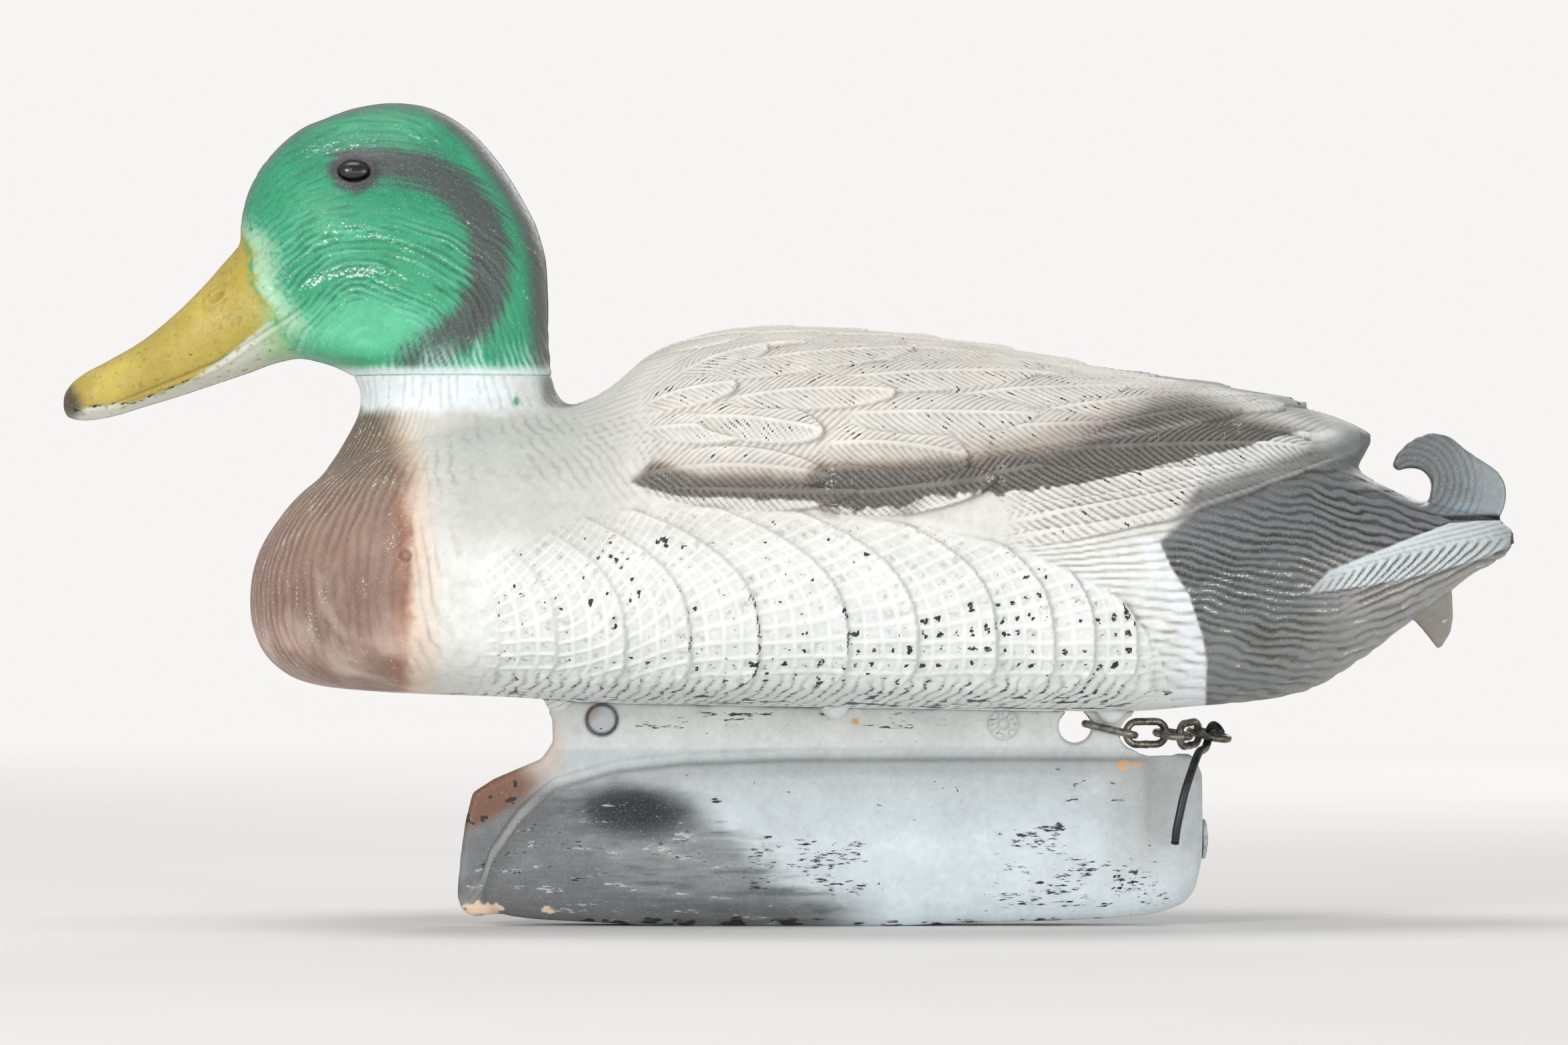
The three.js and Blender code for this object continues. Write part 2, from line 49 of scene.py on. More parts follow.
camera_data = bpy.data.cameras.new("camera")
camera = bpy.data.objects.new("camera", camera_data)
bpy.context.scene.collection.objects.link(camera)
camera.location = (VIEW_X * MM, -VIEW_DISTANCE * MM, VIEW_Z * MM)
camera.rotation_euler = (math.pi / 2, 0, 0)
camera_data.sensor_width = SENSOR
camera_data.lens = SENSOR * VIEW_DISTANCE / VIEW_WIDTH
camera_data.clip_start, camera_data.clip_end = 0.05, 60
bpy.context.scene.camera = camera
bpy.context.scene.view_settings.view_transform = "Standard"


# ---------------------------------------------------------------- node helpers
def new_material(name):
    material = bpy.data.materials.new(name)
    material.use_nodes = True
    material.node_tree.nodes.clear()
    return material, material.node_tree


def node(tree, kind, inputs=None, **props):
    """Adds a node; an input's value is a number, a tuple or another node's output."""
    made = tree.nodes.new("ShaderNode" + kind)
    for key, value in props.items():
        setattr(made, key, value)
    for key, value in (inputs or {}).items():
        if isinstance(value, bpy.types.NodeSocket):
            tree.links.new(value, made.inputs[key])
        else:
            made.inputs[key].default_value = value
    return made


def math_node(tree, operation, a, b=0.0, clamp=False):
    return node(tree, "Math", {0: a, 1: b}, operation=operation, use_clamp=clamp).outputs[0]


def step_node(tree, value, low, high):
    """0 below low and 1 above high, smooth between."""
    made = node(tree, "MapRange", {0: value, 1: low, 2: high, 3: 0.0, 4: 1.0},
                interpolation_type="SMOOTHSTEP")
    return made.outputs[0]


def mix_node(tree, factor, a, b, blend="MIX"):
    made = node(tree, "Mix", data_type="RGBA", blend_type=blend)
    for key, value in ((0, factor), (6, a), (7, b)):
        if isinstance(value, bpy.types.NodeSocket):
            tree.links.new(value, made.inputs[key])
        else:
            made.inputs[key].default_value = value
    return made.outputs[2]


def noise_node(tree, where, scale, detail=2.0, roughness=0.5, stretch=None):
    if stretch is not None:
        where = node(tree, "Mapping", {0: where, 3: stretch}).outputs[0]
    made = node(tree, "TexNoise", {"Vector": where, "Scale": scale, "Detail": detail,
                                   "Roughness": roughness})
    return made.outputs[0]


def linear(rgb):
    """sRGB 0-255 to linear."""
    c = np.asarray(rgb, float) / 255
    return np.where(c <= 0.04045, c / 12.92, ((c + 0.055) / 1.055) ** 2.4)


def shade(rgb):
    return (*linear(rgb), 1.0)


# ---------------------------------------------------------------- the line (a cord)
def catmull_rom(points, per_span):
    """Centripetal Catmull-Rom through the points."""
    pts = [Vector(p) for p in points]
    pts = [2 * pts[0] - pts[1], *pts, 2 * pts[-1] - pts[-2]]
    found = []
    for i in range(1, len(pts) - 2):
        p = pts[i - 1:i + 3]
        t = [0.0]
        for a, b in zip(p, p[1:]):
            t.append(t[-1] + max((b - a).length, 1e-6) ** 0.5)
        for k in range(per_span):
            u = t[1] + (t[2] - t[1]) * k / per_span
            a = [p[j] * ((t[j + 1] - u) / (t[j + 1] - t[j])) + p[j + 1] * ((u - t[j]) / (t[j + 1] - t[j]))
                 for j in range(3)]
            b = [a[j] * ((t[j + 2] - u) / (t[j + 2] - t[j])) + a[j + 1] * ((u - t[j]) / (t[j + 2] - t[j]))
                 for j in range(2)]
            found.append(b[0] * ((t[2] - u) / (t[2] - t[1])) + b[1] * ((u - t[1]) / (t[2] - t[1])))
    found.append(pts[-2])
    return found


LINE_DIAMETER = 2.4
LINE_ROUTE = [
    (125.4, -2.6, 55.8), (124.6, -0.6, 57.2), (123.4, 2.4, 57.9), (122.6, 5.0, 56.6), (122.2, 6.0, 53.8),
    (121.4, 4.6, 51.6), (120.4, 0, 50.9), (118.9, -6.5, 50.4), (117.6, -11.5, 48.4), (115.9, -15, 44.2),
    (114.1, -16.9, 39), (112.7, -17.5, 33), (111.7, -17.4, 28), (111.3, -17, 24.2),
]
line_points = catmull_rom(LINE_ROUTE, 5)


def tube_mesh(name, points, radii, sides, rounding=0.25):
    """Round tube along points, with slightly rounded ends; millimetres in, metres out."""
    points = [Vector(p) for p in points]
    tangents = [(points[min(i + 1, len(points) - 1)] - points[max(i - 1, 0)]).normalized()
                for i in range(len(points))]
    side = tangents[0].orthogonal().normalized()
    rings = []
    for p, tangent, radius in zip(points, tangents, radii):
        side = (side - tangent * side.dot(tangent)).normalized()
        up = tangent.cross(side)
        rings.append([p + (side * math.cos(a) + up * math.sin(a)) * radius
                      for a in (2 * math.pi * j / sides for j in range(sides))])
    for end, step, at in ((0, -1, 0), (-1, 1, len(rings))):
        centre, tangent = points[end], tangents[end] * step
        cap = [centre + (q - centre) * (1 - rounding) + tangent * rounding * 0.5 * radii[end] for q in rings[end]]
        rings.insert(at, cap)
        rings.insert(0 if end == 0 else len(rings), [centre + (q - centre) * 0.4 + tangent * rounding * 0.7 * radii[end]
                                                     for q in rings[1 if end == 0 else -2]])
    verts = [tuple(q * MM) for ring in rings for q in ring]
    faces = []
    for i in range(len(rings) - 1):
        for j in range(sides):
            k = (j + 1) % sides
            faces.append((i * sides + j, i * sides + k, (i + 1) * sides + k, (i + 1) * sides + j))
    faces.append(tuple(range(sides))[::-1])
    faces.append(tuple(range((len(rings) - 1) * sides, len(rings) * sides)))
    mesh = bpy.data.meshes.new(name)
    mesh.from_pydata(verts, [], faces)
    mesh.polygons.foreach_set("use_smooth", [True] * len(mesh.polygons))
    return mesh


line_mesh = tube_mesh("anchor_line", line_points, [LINE_DIAMETER / 2] * len(line_points), 24)
line = bpy.data.objects.new("anchor_line", line_mesh)
bpy.context.scene.collection.objects.link(line)
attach(line, "link_5")
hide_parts("anchor_line_stub")

# ---------------------------------------------------------------- shape tables (as in the CAD)
BACK_LINE = [
    (-155.9, 97), (-155, 103), (-153.1, 108.9), (-147.8, 117.6), (-141.3, 125.2), (-133.9, 131),
    (-126, 136), (-115, 141), (-100, 145), (-80, 148.5), (-61.7, 150.9), (-53.6, 154.6),
    (-40.1, 164.9), (-28.6, 169.3), (-12.8, 171.8), (-1.4, 172.2), (21.5, 171.1), (55.5, 167.2),
    (92.9, 160), (115.3, 156.5), (132.7, 153.2), (146, 148), (158, 137.5), (166, 131), (172, 127.8),
    (179.6, 124.6), (186, 122.4), (194, 120.4), (201, 118.9), (206.5, 117.3), (209.3, 114.8),
    (210.1, 112.4),
]
BELLY_LINE = [
    (-155.9, 91), (-155, 86.5), (-151.7, 79.1), (-145.7, 73.4), (-139.7, 70.6), (-130.8, 68.9),
    (-108, 67.3), (-82, 66.4), (-55.3, 64.8), (-1.4, 63.7), (66.9, 62.5), (93.8, 62.1),
    (121.5, 63.9), (134.5, 65), (149, 67.7), (165.1, 76.6), (173.6, 83), (180, 88), (186, 92.8),
    (192.5, 97.5), (197.2, 101), (203.4, 104.1), (207.5, 106.8), (209.4, 109), (210.1, 110.6),
]
BODY_HALF_WIDTH = [
    (-155.9, 5), (-155, 15), (-152, 27), (-147, 38), (-140, 48), (-130, 57), (-115, 66), (-95, 73),
    (-70, 78), (-40, 81.5), (0, 82.5), (35, 81), (65, 76.5), (90, 70), (112, 61.5), (132, 52),
    (150, 43), (166, 35.5), (180, 30), (192, 25), (200, 19.5), (206, 12.5), (209.1, 6.5), (210.1, 2),
]
WIDEST_LEVEL = [
    (-155.9, 94), (-140, 97), (-100, 99), (0, 99), (80, 100), (120, 101), (150, 102), (175, 106.5),
    (192, 110.5), (205, 111.8), (210.1, 111.6),
]
TIPS = {
    "top": [(105, 152), (115.3, 156.4), (132.7, 153.6), (154.2, 148.8), (165.8, 144.4), (169.2, 142.6)],
    "bottom": [(105, 134), (130, 132), (154, 131), (164, 132.5), (167.2, 136), (168.4, 139.2)],
    "half": [(105, 30), (130, 30), (150, 22), (162, 12), (167, 6), (169.2, 2.2)],
}
NECK = {
    "front": [(128, -137), (136, -131.5), (143, -127.4), (149.5, -124.4), (154, -124.1), (159.3, -126.2)],
    "back": [(128, -36), (136, -45), (143, -53.5), (149.5, -63), (154, -67.2), (159.3, -68.9)],
    "half": [(128, 40), (136, 33), (143, 27.5), (149.5, 24), (154, 23), (159.3, 23)],
}
CRANIUM = {
    "front": [
        (159.6, -126.3), (161, -129), (163.2, -134.5), (164.8, -141), (168, -146.5), (172, -149.5),
        (180, -153.2), (190, -157), (198.7, -159), (205.7, -158.1), (212.7, -156.2), (220.4, -152.1),
        (226, -147.3), (231.4, -140.3), (234.7, -132.4), (237.2, -124.5), (238.4, -116.8),
    ],
    "back": [
        (159.6, -69), (165, -69.5), (172, -69.9), (180.9, -70), (191.8, -70.6), (201.8, -73.1),
        (210.1, -77.2), (219.4, -83), (227.9, -90), (233.4, -96.9), (236.8, -103.7), (238.4, -110.6),
    ],
    "half": [
        (159.6, 23.2), (166, 23.6), (174, 25), (184, 27), (196, 27.6), (206, 26.6), (214, 24.6),
        (222, 21), (229, 16), (234, 10.6), (237, 6), (238.4, 2.5),
    ],
}
BILL = {
    "top": [
        (-210.1, 152.6), (-209.4, 154.8), (-205.5, 158.9), (-197.6, 163.3), (-187.7, 169.1),
        (-177.8, 177.1), (-168, 186.9), (-162, 193.9), (-156, 200), (-150, 204), (-130, 208),
    ],
    "bottom": [
        (-210.1, 150), (-209, 147.6), (-204.5, 146.7), (-182.7, 151.9), (-166, 157.3), (-154, 161.4),
        (-150, 162.9), (-144, 164.4), (-138, 165.6), (-130, 170),
    ],
    "half": [
        (-210.1, 4), (-209, 7.5), (-205.5, 11), (-199, 13), (-188, 12.8), (-176, 12.2), (-165, 13),
        (-156, 15.5), (-150, 16.8), (-142, 16.5), (-130, 12),
    ],
}
CURL = [
    (183.4, 119), (186.4, 124), (186.6, 129), (184.8, 131.4), (181.1, 132.8), (176.5, 131.6),
    (174.9, 133.1), (176.5, 136.6), (180.3, 140.5), (186.5, 143.2), (191.8, 142), (197.2, 137.4),
    (205.7, 132), (208.2, 127.7), (208.2, 122.5), (206.2, 117.8), (196, 114),
]
MOULD_TAB = [(178, 92), (183.4, 86.5), (186.5, 82.6), (188.9, 79.5), (192.9, 86.5), (192.5, 99)]
KEEL_OUTLINE = [
    (-68.3, 59.8), (-68.1, 53), (-71.6, 48), (-79, 44.9), (-85.7, 42), (-91.5, 38.3),
    (-93.5, 30.2), (-95, 19), (-95.9, 8.7), (-94.6, 4.3), (-91.5, 2.7), (-60, 6), (60, 6), (113, 8),
    (117, 12), (118.6, 19.7), (119.2, 31.5), (119.4, 43.5), (118.4, 46.8), (116.3, 49.4),
    (105.3, 49.5), (102.4, 50.2), (100.2, 51.0), (98.3, 52.0), (97.0, 53.5), (96.4, 55.6), (97.0, 57.8),
    (98.4, 59.5), (100.1, 60.5),
]
BULB = {
    "top": [
        (-89, 17), (-86.3, 22.6), (-80, 33), (-70, 41.4), (-58, 45.6), (-35, 48.4), (0, 49.6), (60, 49.4),
        (100, 49.4), (114, 49.4), (117.6, 48.2), (119.8, 43.5),
    ],
    "bottom": [
        (-89, 10), (-86.3, 5), (-80, 2.8), (-71.6, 1.9), (-53.8, 1), (-36, 0), (24, 0), (54.8, 1),
        (78.4, 1.7), (102.2, 3.1), (113.2, 6), (117.6, 10.5), (119.8, 20),
    ],
    "half": [
        (-89, 2.2), (-86.3, 5.5), (-80, 9), (-70, 11.6), (-55, 13.3), (0, 14), (60, 14), (100, 13.6),
        (111, 12.8), (117.6, 10.4), (119.8, 7.5),
    ],
    "section": [(0, 0.5), (0.05, 0.7), (0.16, 0.9), (0.38, 1), (0.6, 0.91), (0.78, 0.66), (0.9, 0.38),
                (1, 0.13)],
}
COLLAR_TOP, HEAD_BOTTOM = 159.3, 159.36
FLANGE_THICKNESS = 3.2
ROPE_HOLE = (83.1, 57.6, 5.0)
DIMPLE = (-54.2, 59.6, 5.0)
LUG_STATIONS = (-66.8, 13.4, 93.7)
FILL_HOLE_Z, FILL_HOLE_R = 25, 4.6
EYE_X, EYE_Z, EYE_LENGTH, EYE_HEIGHT, EYE_DEPTH = -124.8, 217.7, 9.3, 6.0, 5.0
WIRE, LINK_WIDTH, HOOK = 2.2, 8.8, 2.5
UPPER_POWER, LOWER_POWER = 2.15, 2.7


def curve(points):
    """Monotone cubic through the points, the same as the CAD's."""
    xs, ys = np.array(points, float).T
    rise = np.diff(ys) / np.diff(xs)
    a, b = rise[:-1], rise[1:]
    total = np.where(a + b == 0, 1, a + b)
    tangent = np.concatenate(([rise[0]], np.where(a * b <= 0, 0, 2 * a * b / total), [rise[-1]]))

    def at(x):
        x = np.asarray(x, float)
        i = np.clip(np.searchsorted(xs, x) - 1, 0, len(xs) - 2)
        h = xs[i + 1] - xs[i]
        t = np.clip((x - xs[i]) / h, 0, 1)
        t2, t3 = t * t, t * t * t
        return ((2 * t3 - 3 * t2 + 1) * ys[i] + (t3 - 2 * t2 + t) * h * tangent[i]
                + (3 * t2 - 2 * t3) * ys[i + 1] + (t3 - t2) * h * tangent[i + 1])
    return at


def smooth_step(value, low, high):
    t = np.clip((value - low) / (high - low), 0, 1)
    return t * t * (3 - 2 * t)


def power(v, n):
    return np.sign(v) * np.abs(v) ** (2 / n)


def eased(a, b, count):
    t = np.linspace(0, 1, count + 1)
    return a + (b - a) * (0.35 * t + 0.65 * (0.5 - 0.5 * np.cos(np.pi * t)))


def loft(rings):
    """Closed solid through rings (count, sides, 3) with flat ends."""
    rings = np.asarray(rings, float)
    count, sides = rings.shape[:2]
    i, j = np.meshgrid(np.arange(count - 1), np.arange(sides), indexing="ij")
    a, b = i * sides + j, i * sides + (j + 1) % sides
    faces = np.stack((a, b, b + sides, a + sides), -1).reshape(-1, 4).tolist()
    faces.append(list(range(sides))[::-1])
    faces.append(list(range((count - 1) * sides, count * sides)))
    return rings.reshape(-1, 3), faces


def plate(outline, thickness):
    """Plate in the XZ plane, centred on y = 0."""
    rings = [[(x, y, z) for x, z in outline] for y in (thickness / 2, -thickness / 2)]
    return loft(rings)


def rounded(outline, times=2):
    """Corner cutting, for a smooth closed outline."""
    points = np.array(outline, float)
    for _ in range(times):
        after = np.roll(points, -1, 0)
        points = np.stack((points * 0.8 + after * 0.2, points * 0.2 + after * 0.8), 1).reshape(-1, 2)
    return points.tolist()


def joined_mesh(name, solids):
    verts, faces, start = [], [], 0
    for v, f in solids:
        verts.append(np.asarray(v) * MM)
        faces += [[k + start for k in face] for face in f]
        start += len(v)
    mesh = bpy.data.meshes.new(name)
    mesh.from_pydata(np.concatenate(verts).tolist(), [], faces)
    mesh.update()
    return mesh


def add_object(name, mesh):
    made = bpy.data.objects.new(name, mesh)
    bpy.context.scene.collection.objects.link(made)
    return made


def remeshed(name, solids, voxel, cutter=None):
    """One clean skin round overlapping solids, as (object, coordinates, edges) in millimetres."""
    rough = add_object(name + "_rough", joined_mesh(name + "_rough", solids))
    if cutter is not None:
        tool = add_object(name + "_cutter", joined_mesh(name + "_cutter", [cutter]))
        cut = rough.modifiers.new("cut", "BOOLEAN")
        cut.operation, cut.object, cut.solver = "DIFFERENCE", tool, "EXACT"
        cut.use_self = True
    grid = rough.modifiers.new("voxels", "REMESH")
    grid.mode, grid.voxel_size, grid.use_smooth_shade = "VOXEL", voxel * MM, True
    bpy.context.view_layer.update()
    graph = bpy.context.evaluated_depsgraph_get()
    mesh = bpy.data.meshes.new_from_object(rough.evaluated_get(graph))
    mesh.name = name
    bpy.data.objects.remove(rough)
    if cutter is not None:
        bpy.data.objects.remove(tool)
    made = add_object(name, mesh)
    co = np.empty(len(mesh.vertices) * 3, np.float32)
    mesh.vertices.foreach_get("co", co)
    edges = np.empty(len(mesh.edges) * 2, np.int32)
    mesh.edges.foreach_get("vertices", edges)
    return made, co.reshape(-1, 3).astype(float) / MM, edges.reshape(-1, 2)


def put(mesh, co):
    mesh.vertices.foreach_set("co", (co * MM).astype(np.float32).ravel())
    mesh.update()


def normals_of(mesh):
    found = np.empty(len(mesh.vertices) * 3, np.float32)
    mesh.vertices.foreach_get("normal", found)
    return found.reshape(-1, 3).astype(float)


def relaxed(values, edges, weight, steps):
    """Moves values towards their neighbours' mean; weight is per vertex."""
    a, b = edges.T
    n = len(values)
    degree = np.bincount(np.concatenate((a, b)), minlength=n).clip(1)
    values = values.reshape(n, -1).copy()
    for _ in range(steps):
        for k in range(values.shape[1]):
            v = values[:, k]
            mean = (np.bincount(a, v[b], n) + np.bincount(b, v[a], n)) / degree
            values[:, k] = v + (mean - v) * weight
    return values


def add_attribute(mesh, name, values):
    if values.ndim == 1:
        mesh.attributes.new(name, "FLOAT", "POINT").data.foreach_set("value", values.astype(np.float32))
        return
    rgba = np.concatenate((linear(np.clip(values, 0, 255)), np.ones((len(values), 1))), 1)
    colour = mesh.attributes.new(name, "FLOAT_COLOR", "POINT")
    colour.data.foreach_set("color", rgba.astype(np.float32).ravel())


# ---------------------------------------------------------------- noise and patterns
def lattice(ix, iy, iz, seed):
    """A repeatable number in 0..1 for each lattice point."""
    h = (ix * 73856093) ^ (iy * 19349663) ^ (iz * 83492791) ^ np.int64(seed * 40503 + 977)
    h = ((h ^ (h >> 13)) * 1274126177) & 0x7FFFFFFF
    h = ((h ^ (h >> 15)) * 668265263) & 0x7FFFFFFF
    return ((h ^ (h >> 13)) & 0xFFFF) / 65535.0


def noise(points, size, seed, octaves=2):
    """Value noise in 0..1; size is the size of its largest features in millimetres."""
    total, weight, sum_weight = 0.0, 1.0, 0.0
    for octave in range(octaves):
        q = points / size
        cell = np.floor(q).astype(np.int64)
        f = q - cell
        f = f * f * (3 - 2 * f)
        value = 0.0
        for corner in range(8):
            d = [(corner >> k) & 1 for k in range(3)]
            w = 1.0
            for k in range(3):
                w = w * (f[:, k] if d[k] else 1 - f[:, k])
            value = value + w * lattice(cell[:, 0] + d[0], cell[:, 1] + d[1], cell[:, 2] + d[2],
                                        seed + octave * 31)
        total = total + weight * value
        sum_weight += weight
        weight *= 0.5
        size = size * 0.5
    return total / sum_weight


def comb(phase, sharp=1.0):
    """Rounded ridges with narrow grooves between them, -1 in a groove and 0 on a ridge."""
    return -((0.5 + 0.5 * np.cos(2 * np.pi * phase)) ** (1.5 * sharp))


def to_line(u, w, points):
    """Signed distance to a polyline that runs left to right: positive below it."""
    xs, zs = np.array(points, float).T
    return np.interp(u, xs, zs) - w


def blended(paint, colour, amount):
    return paint + (np.asarray(colour, float) - paint) * np.clip(amount, 0, 1)[:, None]


def seen_from_side(co):
    """Where a point shows in the side view, measured in the plane of symmetry."""
    grow = VIEW_DISTANCE / (VIEW_DISTANCE - np.abs(co[:, 1]))
    return VIEW_X + (co[:, 0] - VIEW_X) * grow, VIEW_Z + (co[:, 2] - VIEW_Z) * grow


# ---------------------------------------------------------------- body
back_z, belly_z = curve(BACK_LINE), curve(BELLY_LINE)
body_half, widest_z = curve(BODY_HALF_WIDTH), curve(WIDEST_LEVEL)


def body_loft(stations, sides):
    x = np.concatenate((eased(-155.9, 210.1, stations),))[:, None]
    angle = np.linspace(0, 2 * np.pi, sides, endpoint=False)[None, :]
    c, s = np.cos(angle), np.sin(angle)
    level = widest_z(x)
    y = body_half(x) * np.where(s >= 0, power(c, UPPER_POWER), power(c, LOWER_POWER))
    z = level + np.where(s >= 0, (back_z(x) - level) * power(s, UPPER_POWER),
                         (level - belly_z(x)) * power(s, LOWER_POWER))
    return loft(np.stack((np.broadcast_to(x, y.shape), y, z), -1))


def tongue_loft(lines, x0, x1, stations, sides, exponent, middle):
    x = eased(x0, x1, stations)[:, None]
    angle = np.linspace(0, 2 * np.pi, sides, endpoint=False)[None, :]
    c, s = np.cos(angle), np.sin(angle)
    high, low = curve(lines["top"])(x), curve(lines["bottom"])(x)
    level = low + (high - low) * middle
    z = level + np.where(s >= 0, high - level, level - low) * power(s, exponent)
    y = curve(lines["half"])(x) * power(c, exponent)
    return loft(np.stack((np.broadcast_to(x, y.shape), y, z), -1))


def upright_loft(lines, heights, sides, exponent):
    z = np.asarray(heights, float)[:, None]
    angle = np.linspace(0, 2 * np.pi, sides, endpoint=False)[None, :]
    front, back = curve(lines["front"])(z), curve(lines["back"])(z)
    x = (front + back) / 2 + (back - front) / 2 * power(np.cos(angle), exponent)
    y = curve(lines["half"])(z) * power(np.sin(angle), exponent)
    return loft(np.stack((x, y, np.broadcast_to(z, x.shape)), -1))


def ellipsoid(centre, radii, segments=24, rings=14):
    lat = np.linspace(0, np.pi, rings + 1)[1:-1][:, None]
    lon = np.linspace(0, 2 * np.pi, segments, endpoint=False)[None, :]
    x, y = np.sin(lat) * np.cos(lon), np.sin(lat) * np.sin(lon)
    z = np.broadcast_to(np.cos(lat), x.shape)
    points = np.stack((x, y, z), -1) * np.asarray(radii) + np.asarray(centre)
    return loft(points[::-1])


def lug(x, side):
    verts, faces = ellipsoid((x, side * 3.2, float(belly_z(x)) + 0.6), (4.1, 4.4, 4.3))
    verts[:, 1] = side * np.maximum(side * verts[:, 1], 1.9)
    return verts, faces


# The tail curl: a plate 6 mm thick, its rim rounded by the smoothing below.
BODY_VOXEL = 0.6
body, co, edges = remeshed(
    "body_skin",
    [
        body_loft(300, 200),
        tongue_loft(TIPS, 105, 169.2, 60, 80, 2.1, 0.4),
        upright_loft(NECK, np.linspace(122, COLLAR_TOP, 60), 120, 2.1),
        plate(rounded(CURL), 6),
        plate(rounded(MOULD_TAB, 1), 3),
        *[lug(x, side) for x in LUG_STATIONS for side in (-1, 1)],
    ],
    BODY_VOXEL,
)
x, y, z = co.T
plain = np.where(z < belly_z(x) - 0.1, 0.15, 0.5)
seam = (np.abs(z - COLLAR_TOP) < 0.5) & (np.abs(x + 97) < 32) & (np.abs(y) < 27)
neck_zone = smooth_step(z, 126, 132) * (1 - smooth_step(z, 151, 157)) * (np.abs(x + 95) < 75)
tips_zone = smooth_step(x, 100, 112) * (z > 120) * (1 - smooth_step(x, 165, 172))
curl_zone = smooth_step(x, 168, 176) * (z > 110)
co = relaxed(co, edges, plain, 4)
co = relaxed(co, edges, 0.6 * np.clip(neck_zone + 0.8 * tips_zone, 0, 1), 90)
co = relaxed(co, edges, 0.5 * curl_zone, 8)
co[seam, 2] = COLLAR_TOP
put(body.data, co)
normal = normals_of(body.data)

x, y, z = co.T
u, w = seen_from_side(co)
side_on = np.abs(normal[:, 1])
level, half = widest_z(x), np.maximum(body_half(x), 3)
tips_top = curve(TIPS["top"])


def crest_z(x):
    return np.where((x > 106) & (x < 168), np.maximum(back_z(x), tips_top(x)), back_z(x))


up_height = np.maximum(crest_z(x) - level, 3)


def arc_up(x, z):
    """Length up the side from the widest level, for a height seen from the side."""
    lift = np.maximum(crest_z(x) - widest_z(x), 3)
    s = np.clip((z - widest_z(x)) / lift, 0, 1) ** (UPPER_POWER / 2)
    return widest_z(x) + lift * np.arcsin(np.clip(s, 0, 1))


sin_part = np.clip((z - level) / up_height, 0, 1.2) ** (UPPER_POWER / 2)
cos_part = np.clip(np.abs(y) / half, 0, 1.2) ** (UPPER_POWER / 2)
arc = level + up_height * np.arctan2(sin_part, cos_part)

# -- regions seen from the side
POCKET_TOP = [(-100, 96), (-84, 107), (-67, 116), (-50, 120), (-20, 121.5), (10, 119.5), (35, 116),
              (59.6, 111), (78.2, 104.3), (96.8, 94.4), (104, 85.1), (105.8, 78.4)]
WING_LOWER = [(-46.4, 128.5), (-32.5, 124.4), (-10.3, 123.3), (4.5, 122.9), (19.4, 120.4), (30.4, 120.7),
              (41.4, 123.6), (63.7, 125.4), (85.1, 128.1), (109.3, 133.3), (133.5, 138.4), (150, 142.8),
              (169, 144)]
WING_UPPER = [(-46.4, 129), (-39.9, 134.5), (-25.2, 130.8), (4.5, 129.6), (9.7, 133.5), (34.1, 134.1),
              (49, 135.1), (61.3, 138.2), (70, 139.2), (84, 143), (96, 149), (106, 153.5), (116, 154.8),
              (127, 152), (139, 148.5), (150, 145), (162, 141)]
RUMP_FRONT = [(64, 121.1), (75.9, 121.5), (83.4, 120.4), (95.6, 116.5), (103.3, 111.5), (111.1, 107.8)]
RUMP_TOP = [(107.8, 111.1), (119.2, 121.7), (145.7, 130.6), (164.7, 137.6), (175, 150)]
TAIL_TOP = [(150.4, 96.1), (157, 102.9), (178, 111.3), (191.8, 116.6), (205.3, 117.4), (211, 114)]
TAIL_LOW = [(150.4, 96), (165, 98), (180, 100.6), (195, 104.5), (204, 107.5), (211, 111)]


def inside_x(value, low, high, soft):
    return smooth_step(value, low - soft, low + soft) * (1 - smooth_step(value, high - soft, high + soft))


pocket_front = -88 + 0.004 * (w - 88) ** 2
pocket = (smooth_step(to_line(u, w, POCKET_TOP), -0.6, 1.8)
          * smooth_step(u, pocket_front - 3, pocket_front + 5)
          * (1 - smooth_step(u, 102.5, 106.5)) * smooth_step(side_on, 0.12, 0.4) * smooth_step(w, 62.5, 65))
rump_edge = np.interp(w, *np.array(RUMP_FRONT, float).T)
rump = smooth_step(u - rump_edge, -0.5, 0.5) * smooth_step(to_line(u, w, RUMP_TOP), -1.5, 1.5)
rump = np.where(u > 166, 1.0, rump)
tail_leaf = (smooth_step(to_line(u, w, TAIL_TOP), -0.4, 0.4) * (1 - smooth_step(to_line(u, w, TAIL_LOW), -0.5, 0.5))
             * smooth_step(u, 149, 152))
curl = ((u > 173.5) & (w > np.interp(u, [173, 183, 192, 205, 212], [128, 121.5, 117.5, 117.5, 115]))).astype(float)
curl = smooth_step(relaxed(curl, edges, plain, 3)[:, 0], 0.2, 0.8)
tab = ((u > 180) & (w < np.interp(u, [180, 186, 194], [89, 94, 98.5])) & (np.abs(y) < 6)).astype(float)

relief = np.zeros(len(co))
chip = np.zeros(len(co))          # above about 0.5 the black plastic shows
worn = np.zeros(len(co))          # ridges rubbed pale
rub = np.zeros(len(co))           # above about 0.5 the ridge is rubbed pale
dirt = np.zeros(len(co))          # grime in recesses

# -- long combed lines over the neck root, breast and shoulder
n_big = noise(co, 18, 1, 3)
n_mid = noise(co, 6, 2, 3)
n_fine = noise(co, 2.2, 3, 2)
n_long = noise(co * (0.25, 1, 1), 3.0, 4, 2)     # streaks along x
n_tall = noise(co * (1, 1, 0.25), 3.0, 5, 2)     # streaks up and down

